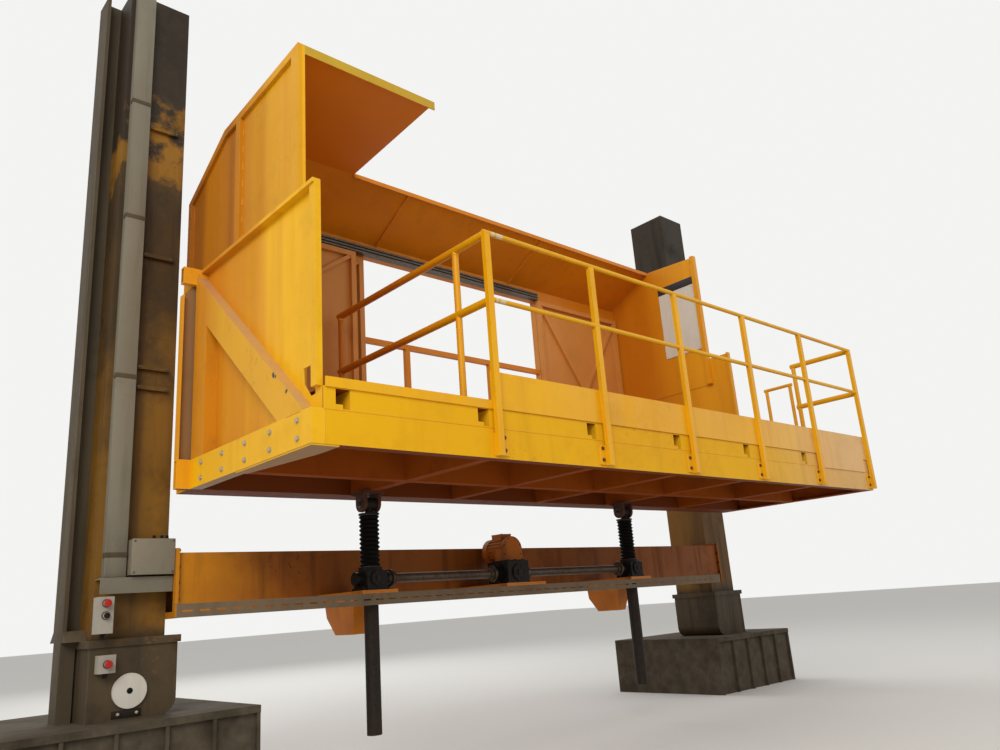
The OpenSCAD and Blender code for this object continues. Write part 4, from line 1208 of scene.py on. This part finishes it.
    def motor_fittings(self) -> None:
        """Adds the motor's terminal lid, cable glands, flange bolts and fan grille."""
        x, z = self.motor
        (near, far), (low, high) = self.lid_span, self.lid_rise
        lid = Piece("terminal_box_lid", MOTOR)
        lid.box(spot(x - self.lid_half, near, z + low), spot(x + self.lid_half, far, z + high), 0.002)
        lid.done()
        screws = Piece("motor_bolts", DARK_STEEL)
        screws.bolt_grid(pair(x, self.lid_half - self.lid_screw_in),
                         (near + self.lid_screw_in, far - self.lid_screw_in), z + high, UP, 0.004, False)
        screws.bolt_circle(spot(x, self.motor_front, z), FRONT, self.motor_circle, 8, 0.006, 0.0625)
        screws.done()
        glands = Piece("motor_glands", BLACK_MACHINE)
        for y in self.gland_places:
            glands.gland(spot(x + self.gland_from[0], y, z + self.gland_from[1]), RIGHT, 0.011, 0.009,
                         0.024, 0.002)
        glands.done()
        grille = Piece("motor_fan_grille", BLACK_MACHINE)
        back = spot(x, self.motor_back, z)
        for radius in self.grille_rings:
            grille.ring(back, back + BACK * self.grille_high[0], *pair(radius, 0.004))
        middle = back + BACK * self.grille_high[1]
        for turn in range(self.grille_arms):
            angle = math.pi * turn / self.grille_arms
            arm = Vector((math.cos(angle), 0, math.sin(angle))) * self.grille_reach
            grille.rod(middle - arm, middle + arm, 0.002, 8)
        grille.done()

    def beam_fittings(self) -> None:
        """Adds the end plate bolts, the shelf welds and the tray bolts of the beam."""
        low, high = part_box("cross_beam")
        rim = self.end_rim
        bolts = Piece("beam_end_bolts", DARK_STEEL)
        for x, way in ((low.x + self.end_plate, RIGHT), (high.x - self.end_plate, LEFT)):
            for step in range(5):
                z = low.z + rim + (high.z - low.z - 2 * rim) * step / 4
                bolts.bolt(Vector((x, low.y + rim, z)), way, 0.009)
            for step in range(1, 4):
                bolts.bolt(Vector((x, low.y + rim + self.end_pitch * step, low.z + rim)), way, 0.009)
        bolts.done()
        welds = Piece("shelf_welds", CONSOLE)
        tray = Piece("tray_bolts", STEEL)
        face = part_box("cable_tray")[0].y
        bolt_off, bolt_drop = self.tray_bolt
        for x, half in self.shelves:
            welds.bead(*(spot(end, self.shelf_back, self.gear_bottom + 0.001) for end in pair(x, half)),
                       0.004, 0.016)
            for end in pair(x, bolt_off):
                at = spot(end, 0, self.gear_bottom - bolt_drop)
                tray.bolt(Vector((at.x, face, at.z)), FRONT, 0.005)
        welds.done()
        tray.done()

    def build(self) -> None:
        """Adds the bellows and all the fittings of the lift."""
        self.bellows("bellows_left")
        self.bellows("bellows_right")
        self.lug_fittings()
        self.gear_fittings()
        self.shaft_fittings()
        self.motor_fittings()
        self.beam_fittings()


@dataclass
class Columns:
    """The two columns with their guide rails, fittings and kerbs."""

    inner: float = 0.034
    clamp_face: float = 1.774
    clamps: tuple[float, ...] = (0.683, 0.813, 1.573, 2.513)
    clamp_places: Pair = (-0.226, -0.064)
    trunk: Pair = (-0.337, -0.223)
    trunk_face: float = 1.740
    joints: tuple[float, ...] = (-0.338, 0.731, 1.801, 2.650)
    shelf: float = -0.467
    lid_low: Point = (-0.249, 1.668, 0.009)
    lid_high: Point = (-0.002, 1.682, 0.215)
    screw_in: float = 0.014
    upper_glands: tuple[float, ...] = (-0.060, -0.030, -0.105)
    upper_gland_foot: Pair = (1.740, 0.212)
    lower_glands: tuple[Point, ...] = ((-0.347, 1.680, -0.767), (-0.314, 1.705, -0.975))
    red_buttons: tuple[Point, ...] = ((-0.347, 1.617, -0.607), (-0.314, 1.652, -0.928))
    black_button: Point = (-0.347, 1.617, -0.672)
    collar_back: float = 0.018
    collar: Pair = (0.0172, 0.023)
    plate_low: Point = (-0.088, 0.009, -0.138)
    plate_high: Point = (0.070, 0.014, -0.098)
    plate_bolts: Pair = (-0.056, 0.043)
    plate_bolt_z: float = -0.117

    def dress(self) -> None:
        """Paints the columns and what is on them."""
        paint_nodes(COLUMN, "column_left", "column_right")
        paint_nodes(GUIDE, "guide_rails")
        paint_nodes(TRUNKING, "cable_trunking")
        paint_nodes(BOX, "control_boxes")
        paint_nodes(WHITE, "hub_cover")
        paint_nodes(CONCRETE, "plinths")

    def trunking(self) -> None:
        """Adds the trunking's lids and the straps over their joints."""
        left, right = self.trunk
        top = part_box("cable_trunking")[1].z - CORNER.z
        lids = Piece("trunking_lids", TRUNKING)
        for low, high in pairwise((self.shelf + 0.004, *self.joints, top - 0.002)):
            lids.box(spot(left - 0.002, self.trunk_face - 0.003, low + 0.002),
                     spot(right + 0.002, self.trunk_face, high - 0.002), 0.001)
        lids.done()
        straps = Piece("trunking_straps", GUIDE)
        for z in self.joints:
            straps.box(spot(left - 0.004, self.trunk_face - 0.006, z - 0.014),
                       spot(right + 0.004, self.trunk_face + 0.040, z + 0.014), 0.0015)
        straps.done()

    def boxes(self) -> None:
        """Adds the junction box lid, the screws and the glands."""
        low, high = (spot(self.inner + x, y, self.shelf + z) for x, y, z in (self.lid_low, self.lid_high))
        lid = Piece("junction_box_lid", BOX)
        lid.box(low, high, 0.005)
        lid.done()
        screws = Piece("box_screws", STEEL)
        for x, z in product((low.x + self.screw_in, high.x - self.screw_in),
                            (low.z + self.screw_in, high.z - self.screw_in)):
            at = Vector((x, low.y, z))
            screws.rod(at, at + FRONT * 0.003, 0.006, 20, 0.001)
        for z, x in product(self.clamps, self.clamp_places):
            screws.bolt(spot(self.inner + x, self.clamp_face, z), FRONT, 0.007)
        screws.done()
        glands = Piece("box_glands", BLACK_MACHINE)
        foot_y, foot_z = self.upper_gland_foot
        for x in self.upper_glands:
            glands.gland(spot(self.inner + x, foot_y, self.shelf + foot_z), UP, 0.012, 0.0095, 0.028)
        for place in self.lower_glands:
            glands.gland(spot(*place), DOWN, 0.014, 0.011, 0.026)
        head = spot(*self.black_button)
        glands.rod(head, head + FRONT * 0.008, 0.0155, 32, 0.003)
        glands.done()

    def buttons(self) -> None:
        """Adds the red push-button heads and the collars of all three buttons."""
        heads = Piece("push_button_heads", RED_BUTTON)
        for place in self.red_buttons:
            at = spot(*place)
            heads.rod(at, at + FRONT * 0.006, 0.014, 32, 0.001)
            heads.rod(at + FRONT * 0.006, at + FRONT * 0.016, 0.0205, 32, 0.004)
        heads.done()
        collars = Piece("push_button_collars", STEEL)
        for x, y, z in (*self.red_buttons, self.black_button):
            at = spot(x, y + self.collar_back, z)
            collars.ring(at, at + FRONT * 0.004, *self.collar)
        collars.done()

    def cover(self) -> None:
        """Adds the hub cover's dark centre, its rim and the small bolted plate below it."""
        low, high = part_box("hub_cover")
        centre = Vector(((low.x + high.x) / 2, low.y, (low.z + high.z) / 2))
        boss = Piece("hub_centre", BLACK_MACHINE)
        boss.ring(centre + BACK * 0.004, centre + FRONT * 0.002, 0.0105, 0.016)
        boss.rod(centre + BACK * 0.012, centre + BACK * 0.003, 0.0108, 24, 0.001)
        boss.done()
        rim = Piece("hub_rim", WHITE)
        rim.ring(centre + BACK * 0.002, centre + FRONT * 0.0015, 0.086, 0.0925, 64)
        rim.done()
        plate = Piece("hub_plate", DARK_STEEL)
        plate.box(centre + Vector(self.plate_low), centre + Vector(self.plate_high), 0.002)
        plate.done()
        bolts = Piece("hub_plate_bolts", ZINC)
        for x in self.plate_bolts:
            bolts.bolt(centre + Vector((x, self.plate_low[1], self.plate_bolt_z)), FRONT, 0.010, False)
        bolts.done()

    def build(self) -> None:
        """Adds the fittings of the left column."""
        self.trunking()
        self.boxes()
        self.buttons()
        self.cover()


# Stage


@dataclass(frozen=True)
class Lamp:
    """One soft square area lamp."""

    name: str
    at: Point
    aim: Point
    power: float
    colour: Colour
    size: float = 6.0

    def hang(self) -> None:
        """Hangs the lamp and points it."""
        data = bpy.data.lights.new(self.name, "AREA")
        data.energy, data.size, data.color = self.power, self.size, self.colour
        lamp = bpy.data.objects.new(self.name, data)
        bpy.context.scene.collection.objects.link(lamp)
        lamp.location = self.at
        lamp.rotation_mode = "QUATERNION"
        lamp.rotation_quaternion = (Vector(self.aim) - Vector(self.at)).to_track_quat("-Z", "Y")


@dataclass
class Studio:
    """The floor, the lamps, the world and the camera."""

    floor_size: float = 120.0
    floor_colour: Colour = srgb(226, 225, 222)
    sky: Colour = (0.90, 0.90, 0.89)
    light: Colour = (1.0, 0.98, 0.95)
    fill: float = 0.56
    eye: Point = (-4.655, -4.612, 0.981)
    yaw: float = 42.92
    pitch: float = 15.86
    roll: float = 4.27
    lens: float = 29.02
    lamps: tuple[Lamp, ...] = (
        Lamp("key", (-10.0, -8.2, 8.0), (0.0, -0.5, 2.6), 960.0, (1.0, 0.96, 0.90)),
        Lamp("side", (9.0, -8.0, 5.0), (0.5, 0.0, 2.4), 110.0, (0.95, 0.97, 1.0)),
        Lamp("back", (2.0, 10.0, 8.0), (0.0, 0.5, 2.4), 420.0, (1.0, 1.0, 1.0)))

    def floor(self) -> None:
        """Lays the pale floor."""
        bm = bmesh.new()
        bmesh.ops.create_grid(bm, x_segments=1, y_segments=1, size=self.floor_size / 2)
        mesh = bpy.data.meshes.new("studio_floor")
        bm.to_mesh(mesh)
        bm.free()
        material, _, shader = start_material("studio_floor")
        shader.inputs["Base Color"].default_value = (*self.floor_colour, 1.0)
        shader.inputs["Roughness"].default_value = 0.9
        mesh.materials.append(material)
        floor = bpy.data.objects.new("studio_floor", mesh)
        bpy.context.scene.collection.objects.link(floor)

    def world(self) -> None:
        """Sets an even world that shows pale to the camera and in reflections."""
        world = bpy.data.worlds.new("studio")
        bpy.context.scene.world = world
        world.use_nodes = True
        tree = Tree(world.node_tree)
        world.node_tree.nodes.clear()
        path = tree.add("LightPath").outputs
        seen = tree.maths("MAXIMUM", path["Is Camera Ray"], path["Is Glossy Ray"])
        seen = tree.maths("MAXIMUM", seen, path["Is Transmission Ray"])
        light = tree.add("Background", Color=self.light, Strength=self.fill)
        shown = tree.add("Background", Color=self.sky, Strength=1.0)
        blend = tree.add("MixShader", in_0=seen, in_1=light.outputs[0], in_2=shown.outputs[0])
        tree.add("OutputWorld", Surface=blend.outputs[0])

    def camera(self) -> None:
        """Sets the camera where the photograph was taken."""
        data = bpy.data.cameras.new("photo_camera")
        data.lens, data.sensor_width = self.lens, 36.0
        camera = bpy.data.objects.new("photo_camera", data)
        bpy.context.scene.collection.objects.link(camera)
        camera.matrix_world = (
            Matrix.Translation(self.eye) @ Matrix.Rotation(math.radians(-self.yaw), 4, "Z")
            @ Matrix.Rotation(math.radians(90 + self.pitch), 4, "X")
            @ Matrix.Rotation(math.radians(-self.roll), 4, "Z"))
        bpy.context.scene.camera = camera

    def build(self) -> None:
        """Sets up the whole studio."""
        self.floor()
        self.world()
        self.camera()
        for lamp in self.lamps:
            lamp.hang()
        bpy.context.scene.view_settings.view_transform = "Standard"


def write_sizes() -> None:
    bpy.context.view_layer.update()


def main() -> None:
    """Builds and dresses the sub-assemblies in order."""
    logging.basicConfig(level=logging.INFO, format="%(message)s")
    Studio().build()
    for part in (BaseFrame(), GuardRails(), OperatorBay(), HoodAndDoors(), JackLift(), Columns()):
        part.dress()
        part.build()
    write_sizes()


if __name__ == "__main__":
    main()
